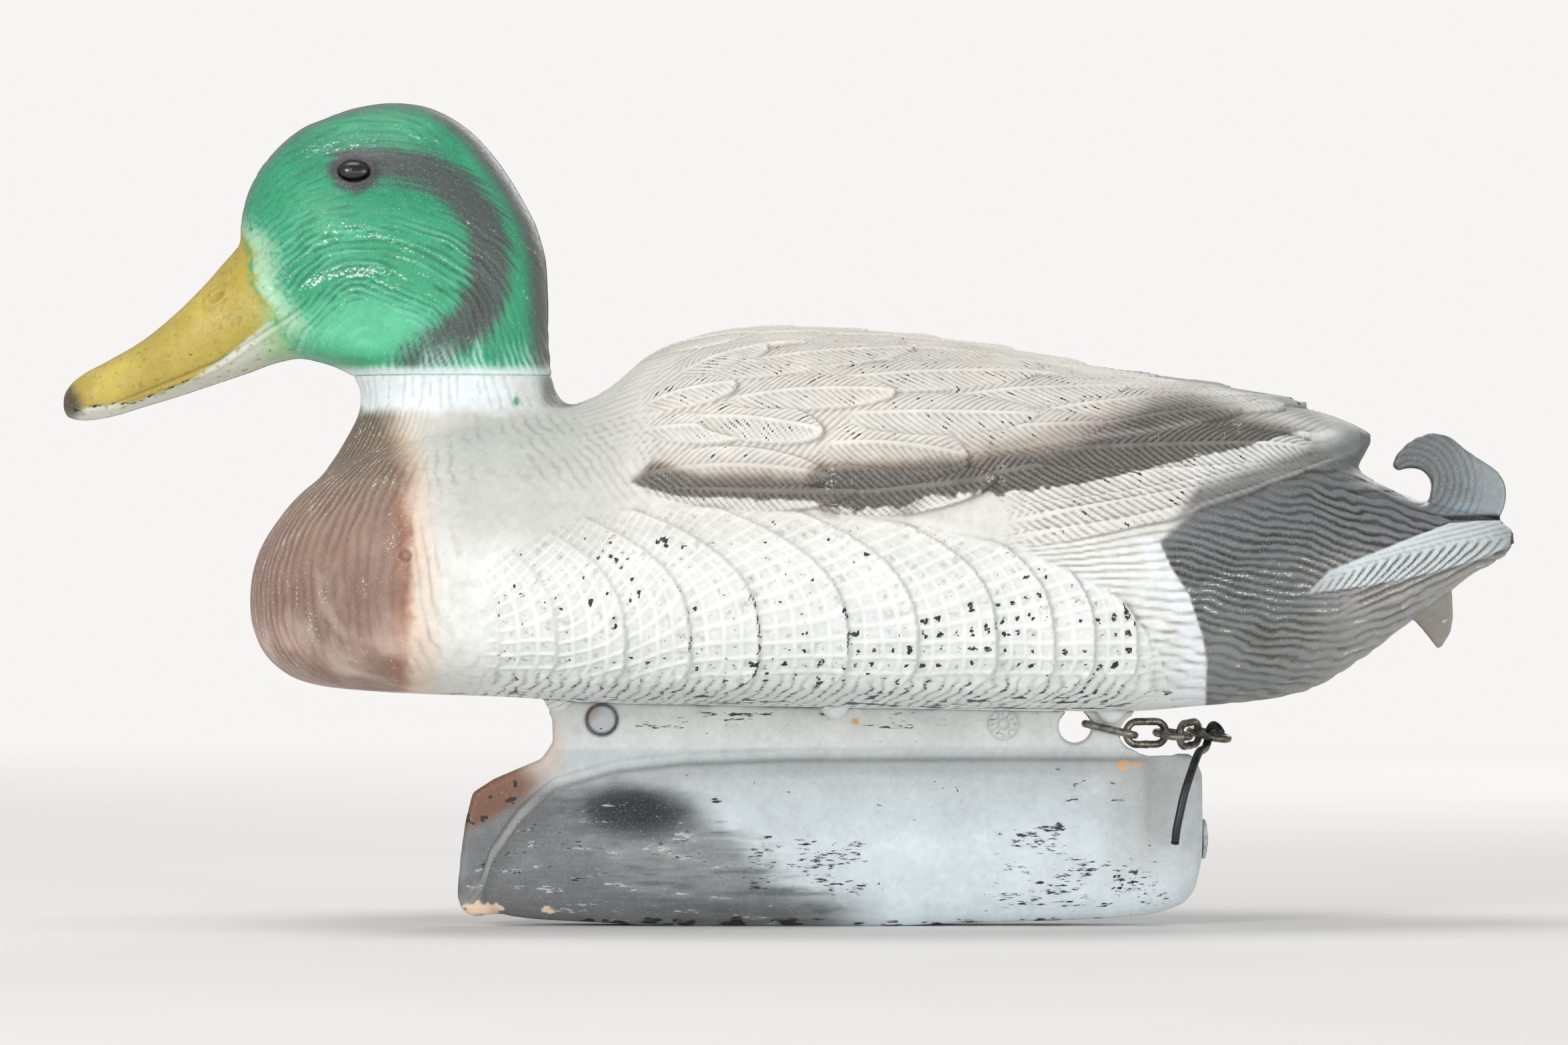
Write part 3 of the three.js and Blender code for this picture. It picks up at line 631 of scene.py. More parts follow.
breast_phase = 17 * np.arctan2(np.abs(y), -(x + 92)) + 1.5 * n_big + 0.6 * n_tall
breast_zone = (1 - smooth_step(u, -116, -98)) * smooth_step(w, 70, 80) * (1 - smooth_step(w, 148, 151))
lined = np.maximum(smooth_step(-u, 130, 150), smooth_step(w, 106, 128))
relief += 0.28 * comb(breast_phase) * breast_zone * (0.1 + 1.1 * n_mid) * (0.3 + 0.7 * lined)

shoulder = (smooth_step(u, -112, -96) * (1 - smooth_step(u, -44, -30)) * smooth_step(w, 112, 121)
            * (1 - smooth_step(w, 146, 150)) * (1 - smooth_step(pocket, 0.1, 0.5)))
shoulder = np.maximum(shoulder, inside_x(u, -112, -86, 5) * inside_x(w, 76, 116, 8) * (1 - pocket))
drape = u + 0.85 * smooth_step(u, -104, -62) * (w - 150) - 0.002 * (w - 150) ** 2 * (1 - smooth_step(u, -96, -70))
relief += ((0.22 - 0.08 * smooth_step(u, -75, -50)) * comb(drape / 3.4 + 1.6 * n_big + 0.5 * n_tall) * shoulder
           * smooth_step(noise(co * (1, 1, 0.6), 9, 6, 2), 0.25, 0.65))

# -- side pocket: bands of scalloped feathers with a raised grid of barbs
dz = w - 78.4
bend = np.where(dz > 0, 36.4 * (np.abs(dz) / 42) ** 3.06, 11.6 * (np.abs(dz) / 11.8) ** 2.4)
across = u + bend
BANDS = np.array([-100, -84, -67.5, -47.4, -28.6, -8.5, 17, 37.3, 60.2, 77.2, 88.6, 101, 112])
warped = across + 1.2 * (n_big - 0.5)
band = np.clip(np.searchsorted(BANDS, warped) - 1, 0, len(BANDS) - 2)
band_start, band_end = BANDS[band], BANDS[band + 1]
in_band = np.clip((warped - band_start) / (band_end - band_start), 0, 1)
sub_count = np.maximum(np.round((band_end - band_start) / 4.8), 2)
sub = in_band * sub_count
slope = (0.80 - 0.42 * smooth_step(u, -70, 5)) * smooth_step(w, 80, 106) + 0.06
rows = (w - slope * (u - band_start)) / (3.7 + 0.6 * smooth_step(u, -70, -20)) + 0.35 * (n_big - 0.5)
low_strokes = 1 - smooth_step(w + 3 * (n_mid - 0.5), 69, 75)
cell_x, cell_y = sub - np.floor(sub), rows - np.floor(rows)
pit = (smooth_step(np.abs(cell_x - 0.5), 0.50, 0.30) * smooth_step(np.abs(cell_y - 0.5), 0.50, 0.26))
stroke_phase = (across + 0.9 * (w - 68)) / 3.9 + 1.1 * n_mid
stroke = (0.5 - 0.5 * np.cos(2 * np.pi * stroke_phase)) ** 2
pit = pit * (1 - low_strokes) + stroke * low_strokes
grid_strength = (1.3 - 0.3 * smooth_step(u, -70, -20)) * (0.75 + 0.25 * smooth_step(110 - w, 0, 30))
plateau = 1.1 * smooth_step(u, -88, -35) * smooth_step(w, 64, 70)
relief += pocket * (plateau - 0.37 * pit * grid_strength
                    + 0.95 * (in_band ** 2.2 - 0.4) * smooth_step(w, 66, 72) * (0.4 + 0.6 * smooth_step(u, -80, -40)))
cell_id = lattice(np.floor(sub).astype(np.int64) + 50 * band, np.floor(rows).astype(np.int64), band, 8)
density = (0.08 + 0.66 * inside_x(u, 45, 104, 14) * inside_x(w, 66, 94, 5)
           + 0.42 * inside_x(u, 10, 60, 12) * inside_x(w, 66, 88, 5)
           + 0.36 * inside_x(u, -20, 12, 9) * inside_x(w, 66, 86, 5)
           + 1.5 * np.exp(-((u + 50) / 8.5) ** 2 - ((w - 107.2 - 0.12 * (u + 50)) / 3.4) ** 2)
           + 0.5 * np.exp(-((u + 58) / 4.0) ** 2 - ((w - 116) / 1.6) ** 2)
           + 0.3 * np.exp(-((u - 35) / 9.0) ** 2 - ((w - 109) / 3.0) ** 2)
           + 0.12 * inside_x(w, 68, 76, 2))
cell_noise = noise(co, 1.6, 12, 2)
cell_amount = np.clip((density - cell_id) * 3.2, 0, 1)
cell_shift = 0.22 * (lattice(np.floor(sub).astype(np.int64), np.floor(rows).astype(np.int64) + 9, band, 18) - 0.5)
spot = 1 - smooth_step(np.hypot((cell_x - 0.5 + cell_shift) / 0.30, (cell_y - 0.5) / 0.33)
                       + 1.9 * (cell_noise - 0.5), 0.35, 1.0)
chip += pocket * (1 - low_strokes) * spot * np.maximum(smooth_step(cell_amount, 0.02, 0.5) * 0.60,
                                                       0.385 + 0.05 * inside_x(w, 66, 80, 3))
low_edge = inside_x(u, -92, 100, 6) * smooth_step(w, 61.8, 63.5) * (1 - smooth_step(w + 3 * (n_mid - 0.5), 69, 76))
low_stroke = low_edge * smooth_step(stroke, 0.3, 0.85) * smooth_step(noise(co, 5.0, 13, 2), 0.15, 0.45)
chip += low_stroke * (0.33 + 0.24 * smooth_step(cell_noise, 0.35, 0.62))
for crack_at, low, high in ((-28.6, 78, 100), (-8.5, 80, 98), (17, 78, 96), (-8.5, 66, 80), (60.2, 80, 90)):
    crack = np.exp(-((warped - crack_at + 0.8 * (n_fine - 0.5)) / 0.7) ** 2) * inside_x(w, low, high, 3)
    chip += 0.62 * pocket * crack * smooth_step(noise(co, 4, 14, 2), 0.30, 0.6)
    relief -= 0.25 * pocket * crack
dirt += 0.65 * pocket * smooth_step(pit, 0.6, 1) * smooth_step(noise(co, 1.5, 15, 2), 0.60, 0.78)
relief += (0.35 * smooth_step(to_line(u, w, POCKET_TOP), -5, 0) * (1 - pocket) * smooth_step(u, -78, -50)
           * (1 - smooth_step(u, 92, 104)) * smooth_step(w, 70, 80))

# -- flank behind the pocket: lines that fan out towards the rump
fan_x, fan_z = u - 58, w - 111
fan_radius = np.hypot(fan_x, fan_z)
fan = (smooth_step(u, 60, 74) * smooth_step(-to_line(u, w, [(60, 110), (80, 103), (97, 93), (107, 80), (112, 60)]), 0, 2)
       * (1 - smooth_step(to_line(u, w, WING_LOWER), 0, -3)) * (1 - rump))
fan_phase = (w - 108 - 0.10 * (u - 70) - 0.004 * (u - 70) * (w - 106)) / (1.2 + 0.022 * np.clip(fan_radius, 0, 70))
relief += 0.36 * comb(fan_phase + 0.9 * n_big + 0.3 * n_long) * fan * (0.3 + n_mid)
behind = inside_x(u, 100, 124, 4) * (1 - smooth_step(w, 98, 106)) * (1 - rump) * smooth_step(w, 64, 68)
relief += 0.22 * comb((w - 0.05 * (u - 110)) / 2.4 + 0.9 * n_big + 0.4 * n_long) * behind * (0.2 + n_mid)

# -- rump and tail coverts
FLOW_STATIONS = [100, 112, 124, 136, 146, 152]
flow_high = np.interp(u, FLOW_STATIONS + [170, 190], [9, 8, 5.5, 2.6, 0.8, 0.4, -4.5, -10])
flow_low = np.interp(u, FLOW_STATIONS + [160, 172, 185, 200], [9, 8, 5.5, 2.6, 0.8, 0.4, 1.6, 5.5, 11, 18])
leaf_side = smooth_step(w - np.interp(u, [150, 165, 180, 195, 211], [96, 102, 106, 110.5, 112.3]), -0.5, 0.5)
dip = smooth_step(w, 62, 92)
psi = w - np.where(u < 152, flow_high, flow_high * leaf_side + flow_low * (1 - leaf_side)) * (0.45 + 0.55 * dip)
rump_phase = psi / 2.5 + 1.9 * n_big + 0.75 * n_mid + 0.35 * n_long
rump_lines = comb(rump_phase, 0.8)
soft_top = smooth_step(to_line(u, w, RUMP_TOP), 2, 10)
rump_strength = rump * (1 - tail_leaf) * (1 - curl) * (0.35 + 0.65 * soft_top)
relief += (0.62 * rump_lines * rump_strength * (0.25 + 1.1 * n_mid)
           * (0.35 + 0.9 * smooth_step(noise(co * (0.4, 1, 1), 7, 22, 2), 0.3, 0.65)))
worn += rump_strength * smooth_step(rump_lines, -0.35, -0.02) * smooth_step(
    noise(co * (0.3, 1, 1), 2.6, 21, 3) + 0.12 * inside_x(w, 90, 106, 5) * inside_x(u, 110, 178, 8)
    - 0.18 * smooth_step(w, 108, 114), 0.62, 0.72)

# -- tail: a pale leaf with curved chevrons, standing a little proud
leaf_mid = np.interp(u, [150, 175, 195, 211], [97.5, 106.5, 110.6, 112.3])
leaf_drop = np.clip(leaf_mid - w, 0, 14)
leaf_phase = (u + 0.75 * leaf_drop + 0.09 * leaf_drop ** 2) / 3.2 + 0.6 * n_big + 0.5 * n_mid
fine_lines = (w - 0.24 * (u - 170)) / 1.5 + 0.8 * n_big
lower_half = smooth_step(leaf_mid - w, -1.2, 1.2)
relief += tail_leaf * (0.55 + 0.22 * comb(fine_lines) * (1 - lower_half) + 0.42 * comb(leaf_phase) * lower_half)
chip += 0.50 * tail_leaf * lower_half * smooth_step(-comb(leaf_phase), 0.5, 0.95) * inside_x(u, 170, 196, 6)
under_leaf = (smooth_step(u, 150, 158) * smooth_step(to_line(u, w, TAIL_LOW), 0.5, 1.5)
              * (1 - smooth_step(to_line(u, w, TAIL_LOW), 6, 10)))
relief += 0.3 * under_leaf * comb((w - 0.45 * u) / 2.2 + 0.8 * n_big) * (u > 160)

# -- tail curl: grooves that follow the curl
curl_radius = np.hypot(u - 181, (w - 129) * 1.05)
relief += 0.15 * curl * comb(curl_radius / 2.1 + 0.5 * n_big) * (1 - smooth_step(u, 196, 204))

# -- folded wing and back: overlapping leaf-shaped feathers, rear and lower ones first
leaf_mask = np.zeros(len(co))
barb_mask = np.zeros(len(co))


wing_front = -48 + 16 * smooth_step(arc, 160, 205) + 16 * (n_big - 0.5)
wing_zone = (smooth_step(-to_line(u, w, WING_LOWER), -1, 2) * smooth_step(u - wing_front, 0, 18)
             * (1 - smooth_step(u, 150, 164)) * (w > 118))
mantle = inside_x(u, -62, -30, 7) * smooth_step(w, 134, 144) * (1 - smooth_step(u - wing_front, 0, 18))
relief += 0.2 * mantle * comb(arc / 3.3 - 0.04 * u + 1.4 * n_big) * (0.2 + n_mid)
relief += 0.42 * wing_zone * comb((u - 0.8 * (arc - 130)) / 2.5 + 0.9 * n_big, 0.7) * (0.3 + 0.9 * n_mid)


def leaf(root, tip, width, lift=0.75, barb=2.3, barb_depth=0.2, arch=0.0, above=None):
    """Lays one feather over what is there already; root and tip are [x, height in side view]."""
    global relief, leaf_mask, barb_mask
    a = np.array([root[0], float(arc_up(root[0], root[1])) if above is None else root[1]])
    b = np.array([tip[0], float(arc_up(tip[0], tip[1])) if above is None else tip[1]])
    run = b - a
    length = np.hypot(*run)
    run = run / length
    du, dv = u - a[0], arc - a[1]
    near = (du * run[0] + dv * run[1] > -2) & (du * run[0] + dv * run[1] < length + 2) & \
        (np.abs(dv * run[0] - du * run[1]) < width + abs(arch) + 3)
    pick = np.nonzero(near)[0]
    if not len(pick):
        return
    s = (du[pick] * run[0] + dv[pick] * run[1]) / length
    t = dv[pick] * run[0] - du[pick] * run[1] - arch * 4 * s * (1 - s)
    s_in = np.clip(s, 0, 1)
    reach = width * 2.13 * s_in ** 0.5 * (1 - s_in) ** 0.55 + 0.01
    edge = smooth_step(reach - np.abs(t), -0.35, 0.5) * (s > 0) * (s < 1)
    rachis = 0.40 * np.exp(-(t / 0.55) ** 2) * smooth_step(1 - s, 0.02, 0.1)
    phase = (s * length - np.abs(t) * 0.85 - 0.03 * t * t) / barb + 0.5 * n_mid[pick] + 0.6 * n_big[pick]
    barbs = barb_depth * comb(phase, 0.8) * smooth_step(np.abs(t), 0.3, 1.2)
    risen = smooth_step(s, 0.0, 0.45)
    crown = 0.6 * (1 - np.clip(np.abs(t) / reach, 0, 1) ** 2.4) * risen
    height = lift * 1.1 * s_in * (0.4 + 0.6 * risen) + crown + rachis * risen + 1.9 * barbs * (0.3 + 1.1 * n_mid[pick])
    edge = edge * smooth_step(s, 0.0, 0.16)
    relief[pick] = relief[pick] * (1 - edge) + height * edge
    leaf_mask[pick] = np.maximum(leaf_mask[pick], edge)
    barb_mask[pick] = barb_mask[pick] * (1 - edge) + edge * smooth_step(-comb(phase, 0.8), 0.35, 0.9) \
        * smooth_step(np.abs(t), 0.5, 1.5)


LEAVES = [
    # long flight feathers over the rump, from below upwards
    ((62, 111.5), (139, 128), 4.5, 0.6, 2.6, 0.24, 0),
    ((60, 116), (150, 132.5), 5.5, 0.7, 2.6, 0.26, 0),
    ((58, 121), (158, 135.5), 6.5, 0.9, 2.5, 0.26, 2),
    ((56, 124), (164, 138.5), 7, 1.0, 2.5, 0.26, 1),
    ((44, 128), (151, 143.5), 8, 1.1, 2.4, 0.30, -1),
    ((60, 137), (168, 145), 8, 1.1, 2.4, 0.24, 0),
    ((48, 137.5), (131, 148.5), 7.5, 1.1, 2.4, 0.30, 0),
    ((70, 145), (150, 150), 7.5, 1.0, 2.4, 0.26, 0),
    # lower edge of the wing
    ((2, 124.5), (60, 129), 7, 1.2, 2.3, 0.30, -1),
    ((-46, 128.5), (20, 125.5), 5.5, 1.2, 2.2, 0.24, -2),
    ((-4, 131), (52, 133), 6.5, 1.1, 2.3, 0.30, 0),
    ((-46.5, 129.5), (12, 129.3), 6.5, 1.2, 2.3, 0.22, 3),
    # middle of the back
    ((60, 146), (122, 152.5), 8, 1.0, 2.4, 0.24, 0),
    ((30, 142), (92, 144), 8, 1.0, 2.4, 0.24, 0),
    ((8, 139), (52, 134.8), 8.5, 1.1, 2.3, 0.24, 2),
    ((40, 152), (98, 154.5), 8.5, 1.0, 2.4, 0.22, 0),
    ((14, 148), (72, 146.5), 8.5, 1.0, 2.4, 0.24, 0),
    ((-43, 143), (-12, 141.8), 5.5, 0.9, 2.1, 0.2, 1),
    ((-28, 147), (10, 142), 7.5, 1.1, 2.2, 0.24, 1),
    ((10, 158), (72, 158.5), 8.5, 1.0, 2.4, 0.2, 0),
    ((-20, 151.5), (31, 153), 7.5, 1.1, 2.3, 0.24, 2),
    ((-43, 150), (-15, 155.5), 6.5, 1.0, 2.2, 0.2, 1),
    ((-14, 163), (36, 165.5), 8, 1.0, 2.3, 0.2, 0),
    ((-33, 159), (-6, 166.5), 7, 1.0, 2.2, 0.2, 1),
]
# rows over the top of the back, by arc length, rear ones first
for row, (height, start, stop) in enumerate([(173, 118, -22), (184, 112, -30), (195, 118, -34)]):
    at = start
    while at > stop:
        length = 40 + 0.08 * (at + 30)
        drop = 0.10 * max(at - 40, 0)
        leaf((at - length * 0.5 + (row % 2) * 9, height - drop), (at + length * 0.5 + (row % 2) * 9, height + 2.5 - 1.3 * drop),
             8.5, 0.95, 2.3, 0.2, 0.5, above=True)
        at -= 21


def spine_arc(x0):
    return float(widest_z(x0) + np.maximum(crest_z(np.array(x0)) - widest_z(x0), 3) * math.pi / 2)


for middle in range(128, -36, -21):
    leaf((middle - 21, spine_arc(middle - 21)), (middle + 21, spine_arc(middle + 21)), 9, 1.0, 2.3, 0.2, 0, above=True)
for entry in LEAVES:
    leaf(*entry)

relief *= 1 - 0.85 * smooth_step(u, 150, 163) * (w > 126) * (1 - curl)
# band above the rump: grey paint darkening towards the rump, partly painted shade below the wing's lower edge
grey_and_shade_band = (smooth_step(to_line(u, w, RUMP_TOP), -8.5, -2) * smooth_step(u, 108, 120) * (1 - smooth_step(u, 168, 174))
             * (1 - rump) * (w > 108))
relief *= 1 - 0.8 * smooth_step(grey_and_shade_band, 0.3, 0.9)
relief *= 1 - 0.9 * tab
# flash line left by the mould along the spine and the belly
spine = np.exp(-(y / 0.55) ** 2) * (normal[:, 2] > 0.3) * (x > -62) * (x < 170)
relief += 0.35 * spine
belly_line = np.exp(-(y / 0.5) ** 2) * (normal[:, 2] < -0.3)
relief += 0.25 * belly_line * (x < -72)

# moulded dimple on the breast
hollow = np.hypot(u + 111.3, w - 107.2)
relief -= 0.4 * (1 - smooth_step(hollow, 1.2, 2.4))
relief += 0.25 * np.exp(-((hollow - 2.5) / 0.4) ** 2)

# the collar is smooth
collar = smooth_step(z, 148.6, 150.4) * (np.abs(x + 97) < 36) * (np.abs(y) < 30)
relief *= 1 - collar
relief += 0.12 * collar * comb(np.arctan2(y, x + 97) * 9 + 2.2 * n_big) * (n_tall > 0.52)
relief += 0.06 * (n_fine - 0.5) + 0.10 * (n_mid - 0.5)
relief[seam] = 0

moved = co + normal * relief[:, None]
put(body.data, moved)

# -- paint
BLACK = (26, 27, 29)
paint = np.tile(np.array([221.0, 220, 214]), (len(co), 1))
paint = blended(paint, (236, 239, 237), smooth_step(112 - w, -12, 12) * smooth_step(u, -112, -80))
paint = blended(paint, (226, 218, 207), 0.5 * smooth_step(w, 135, 150) * smooth_step(n_big, 0.4, 0.7))
paint = blended(paint, (205, 199, 190), 0.35 * smooth_step(w, 150, 172) * smooth_step(u, -30, 40))
paint = blended(paint, (190, 191, 187), 0.8 * inside_x(u, -104, -48, 16) * inside_x(w, 112, 152, 12))
# breast
breast_edge = -109.0 + 3 * (n_mid - 0.5) + 2.5 * (noise(co * (1, 1, 0.3), 8, 31, 2) - 0.5) \
    - 5 * smooth_step(w, 130, 150)
edge_soft = 1.5 + 4.5 * smooth_step(w, 112, 148)
breast = 1 - smooth_step(u + 2.4 * (noise(co, 1.5, 34, 2) - 0.5), breast_edge - 2.2 - edge_soft, breast_edge + edge_soft)
halo = 1 - smooth_step(u, breast_edge + 0.5, breast_edge + 10)
paint = blended(paint, (232, 200, 174), 0.75 * halo * (0.45 + 0.55 * n_tall) * (1 - 0.5 * smooth_step(w, 140, 150)))
breast_paint = np.tile(np.array([150.0, 122, 109]), (len(co), 1))
breast_paint = blended(breast_paint, (170, 112, 84), smooth_step(u, breast_edge - 9, breast_edge) * 0.75)
breast_paint = blended(breast_paint, (128, 112, 100), smooth_step(w, 112, 140) * 0.7)
breast_paint = blended(breast_paint, (112, 108, 88), inside_x(w, 143, 152, 4) * 0.7)
# painted shade in the breast's combed grooves
breast_paint = blended(breast_paint, (112, 88, 78), 0.28 * smooth_step(-comb(breast_phase), 0.3, 0.9) * smooth_step(n_mid, 0.3, 0.6))
breast_paint = blended(breast_paint, (212, 188, 174), smooth_step(96 - w, 0, 22) * 0.9 * smooth_step(n_big, 0.25, 0.6))
smudge = noise(co * (1, 1, 0.5), 7, 37, 3)
breast_paint = blended(breast_paint, (190, 176, 166), 0.6 * smooth_step(smudge, 0.5, 0.72) * inside_x(w, 70, 108, 8) * inside_x(u, -146, -112, 6))
breast_paint = blended(breast_paint, (128, 100, 88), 0.4 * smooth_step(0.5 - smudge, 0.05, 0.25) * inside_x(w, 74, 118, 8))
breast_paint = blended(breast_paint, (186, 172, 160), smooth_step(comb(breast_phase), -0.25, 0.0)
                       * smooth_step(w, 96, 128) * smooth_step(-u, 112, 135) * 0.45)
rub += breast * (0.29 + 0.12 * smooth_step(comb(breast_phase), -0.3, 0.0) * lined
                 + 0.11 * smooth_step(noise(co * (1, 1, 0.5), 4, 33, 3), 0.50, 0.72))
paint = paint + (breast_paint - paint) * breast[:, None]
# neck ring
ring = collar * smooth_step(z, 149.4, 151)
ring_paint = (smooth_step(z + 2.4 * (n_mid - 0.5) + 1.2 * (n_fine - 0.5), 146.6, 151.2) 
              * (1 - smooth_step(x, -73, -62)) * smooth_step(x, -139, -133) * (1 - smooth_step(np.abs(y), 28, 34)))
paint = blended(paint, (232, 240, 243), 0.95 * ring_paint * (1 - 0.45 * smooth_step(u, -88, -74)))
paint = blended(paint, (118, 120, 118), 0.9 * smooth_step(x, -73.5, -69) * smooth_step(z, 146, 152)
                * (1 - smooth_step(x, -64, -57)) * smooth_step(-np.abs(y), -20, -8))
paint = blended(paint, (74, 150, 126), 0.8 * (1 - smooth_step(np.hypot((u + 79) * 1.6, w - 152), 0.9, 1.7)))
paint = blended(paint, (150, 205, 190), 0.15 * ring * smooth_step(z, 155.5, 159.3) * smooth_step(n_mid, 0.35, 0.65))
# wing patch
ragged = 1.2 * (n_fine - 0.5) + 3.4 * (noise(co * (1, 1, 0.3), 1.7, 35, 2) - 0.5) * inside_x(u, 12, 78, 6)
patch = ((1 - smooth_step(to_line(u, w, WING_LOWER) + ragged, -0.3, 0.4))
         * smooth_step((to_line(u, w, WING_UPPER) + 2.4 * (n_mid - 0.5)) / (1 + 2.2 * smooth_step(u, 50, 80)), -1.6, 2.2)
         * smooth_step(u, -47, -45))
patch = np.where(u > 168, 0, patch) * (1 - smooth_step(u, 150, 158))
near_patch = smooth_step(to_line(u, w, WING_UPPER) + 3 * (n_mid - 0.5), -8, 1) * \
    (1 - smooth_step(to_line(u, w, WING_LOWER), -2, 0)) * smooth_step(u, -44, -36) * (1 - smooth_step(u, 150, 158))
paint = blended(paint, (190, 176, 163), 0.5 * near_patch * (1 - smooth_step(u, 70, 100)))
patch_paint = np.tile(np.array([106.0, 102, 98]), (len(co), 1))
patch_paint = blended(patch_paint, (136, 130, 124), 0.5 * smooth_step(0.5 - barb_mask, 0.1, 0.5) * smooth_step(n_mid, 0.3, 0.65))
patch_paint = blended(patch_paint, (74, 73, 72), 0.8 * barb_mask)
patch_paint = blended(patch_paint, (150, 134, 120), 0.55 * (1 - smooth_step(to_line(u, w, WING_UPPER), 0, 5)))
rub += patch * (0.27 + 0.16 * smooth_step(noise(co, 4.0, 36, 2), 0.55, 0.8))
paint = paint + (patch_paint - paint) * patch[:, None]
below_patch = smooth_step(to_line(u, w, WING_LOWER) + ragged, 0.2, 0.6) * \
    (1 - smooth_step(to_line(u, w, WING_LOWER), 2.5, 5))
paint = blended(paint, (150, 144, 136), 0.55 * below_patch * inside_x(u, 2, 38, 5) * smooth_step(n_mid, 0.45, 0.65))
# pale strips of the wing tip, and the grey spine
paint = blended(paint, (220, 223, 222), 0.8 * smooth_step(u, 84, 130) * (w > 126) * (1 - rump) * (1 - patch))
gap_line = w - np.interp(u, [40, 65, 81, 104, 128, 140], [135, 138.6, 140.6, 142.8, 147, 149])
paint = blended(paint, (190, 183, 173), 0.5 * np.exp(-(gap_line / 0.8) ** 2) * inside_x(u, 58, 120, 8))
dark_above = np.interp(u, [20, 60, 90, 125, 170], [226, 214, 196, 178, 150])
paint = blended(paint, (104, 105, 105), 0.8 * smooth_step(arc - dark_above + 8 * (n_mid - 0.5), -3, 14) * (u < 172))
paint = blended(paint, (172, 175, 173), 0.8 * smooth_step(u, 118, 150) * smooth_step(-to_line(u, w, WING_UPPER), 0, 3) * (u < 172))
# grey paint and painted shade below the wing's lower edge
paint = blended(paint, (122, 124, 125), 0.9 * grey_and_shade_band)
# rump
band_white = (smooth_step(u - rump_edge, -8, -5) * (1 - rump)) * (w < 112)
paint = blended(paint, (240, 246, 250), 0.9 * band_white)
rump_paint = np.tile(np.array([117.0, 120, 121]), (len(co), 1))
rump_paint = blended(rump_paint, (72, 75, 77), 0.8 * smooth_step(-rump_lines, 0.25, 0.85) * rump_strength)
rump_paint = blended(rump_paint, (166, 167, 165), smooth_step(u, 138, 170) * 0.75 * (1 - smooth_step(w, 104, 112)))
rump_paint = blended(rump_paint, (58, 59, 60), 0.75 * np.exp(-((u - 138) / 5.0) ** 2 - ((w - 81.5) / 4.0) ** 2))
rump_paint = blended(rump_paint, (118, 120, 121), 0.7 * (1 - smooth_step(to_line(u, w, RUMP_TOP), 0, 7)))
# painted light: the rump made lighter towards the bottom
rump_paint = blended(rump_paint, (146, 148, 148), 0.6 * (1 - smooth_step(w, 78, 100)) * smooth_step(u, 112, 124))
rub += rump * (1 - tail_leaf) * (1 - curl) * (0.22 + 0.32 * worn)
paint = paint + (rump_paint - paint) * rump[:, None]
leaf_paint = np.tile(np.array([206.0, 215, 218]), (len(co), 1))
leaf_paint = blended(leaf_paint, (150, 156, 158), smooth_step(166 - u, 0, 16) * 0.5 + 0.4 * smooth_step(u, 204, 210))
leaf_paint = blended(leaf_paint, (84, 87, 90), 0.55 * lower_half * smooth_step(-comb(leaf_phase), 0.35, 0.9)
                     * inside_x(u, 160, 205, 8))
paint = paint + (leaf_paint - paint) * tail_leaf[:, None]
paint = blended(paint, (158, 158, 154), under_leaf * (u > 160) * 0.7)
curl_paint = np.tile(np.array([118.0, 123, 125]), (len(co), 1))
curl_paint = blended(curl_paint, (156, 164, 169), 0.7 * smooth_step(u, 190, 204))
# painted highlight: a bluish sheen at the base of the curl
curl_paint = blended(curl_paint, (168, 186, 200), 0.75 * np.exp(-((u - 194) / 9.0) ** 2 - ((w - 120.5) / 2.6) ** 2))
curl_paint = blended(curl_paint, (150, 160, 166), 0.5 * smooth_step(noise(co, 2.0, 41, 2), 0.55, 0.75)
                     * smooth_step(u, 190, 200))
curl_paint = blended(curl_paint, (66, 70, 74), 0.2 * smooth_step(-comb(curl_radius / 2.1 + 0.5 * n_big), 0.4, 0.9)
                     * (1 - smooth_step(u, 196, 204)))
curl_paint = blended(curl_paint, (24, 25, 27), smooth_step(np.interp(u, [184, 190, 205, 212], [120.5, 118.6, 119.0, 118]) - w,
                     -0.6, 0.4))
paint = paint + (curl_paint - paint) * curl[:, None]
paint = blended(paint, (152, 147, 139), tab)
# chips of the grid, wear and grime, then painted shade in recesses and painted light on bulges
chip += 0.7 * smooth_step(noise(co, 2.2, 51, 3), 0.74, 0.80) * pocket
chip += 0.72 * barb_mask * (1 - patch) * (1 - grey_and_shade_band) * leaf_mask * smooth_step(
    noise(co, 3.0, 52, 3) + 0.05 * inside_x(w, 144, 165, 5) + 0.04 * inside_x(u, 100, 150, 10), 0.64, 0.72)
belly_wear = smooth_step(69.5 - w, 0, 3) * smooth_step(noise(co * (0.5, 1, 1), 3, 53, 3), 0.58, 0.68)
chip += 0.7 * belly_wear * (u < 118)
chip += spine * 0.75 * (x > 20)
on_lug = (z < belly_z(x) - 0.4) & (np.abs(y) > 1.6) & (np.abs(y) < 8.5)
for station in LUG_STATIONS:
    chip[on_lug & (np.abs(x - station) < 5.5)] = 0
chip += 0.7 * smooth_step(x, 207.2, 209.3) * (z < 114)
grain = 1 + 0.05 * (n_fine - 0.5) + 0.07 * (n_big - 0.5) + 0.04 * (noise(co, 0.9, 55, 1) - 0.5)
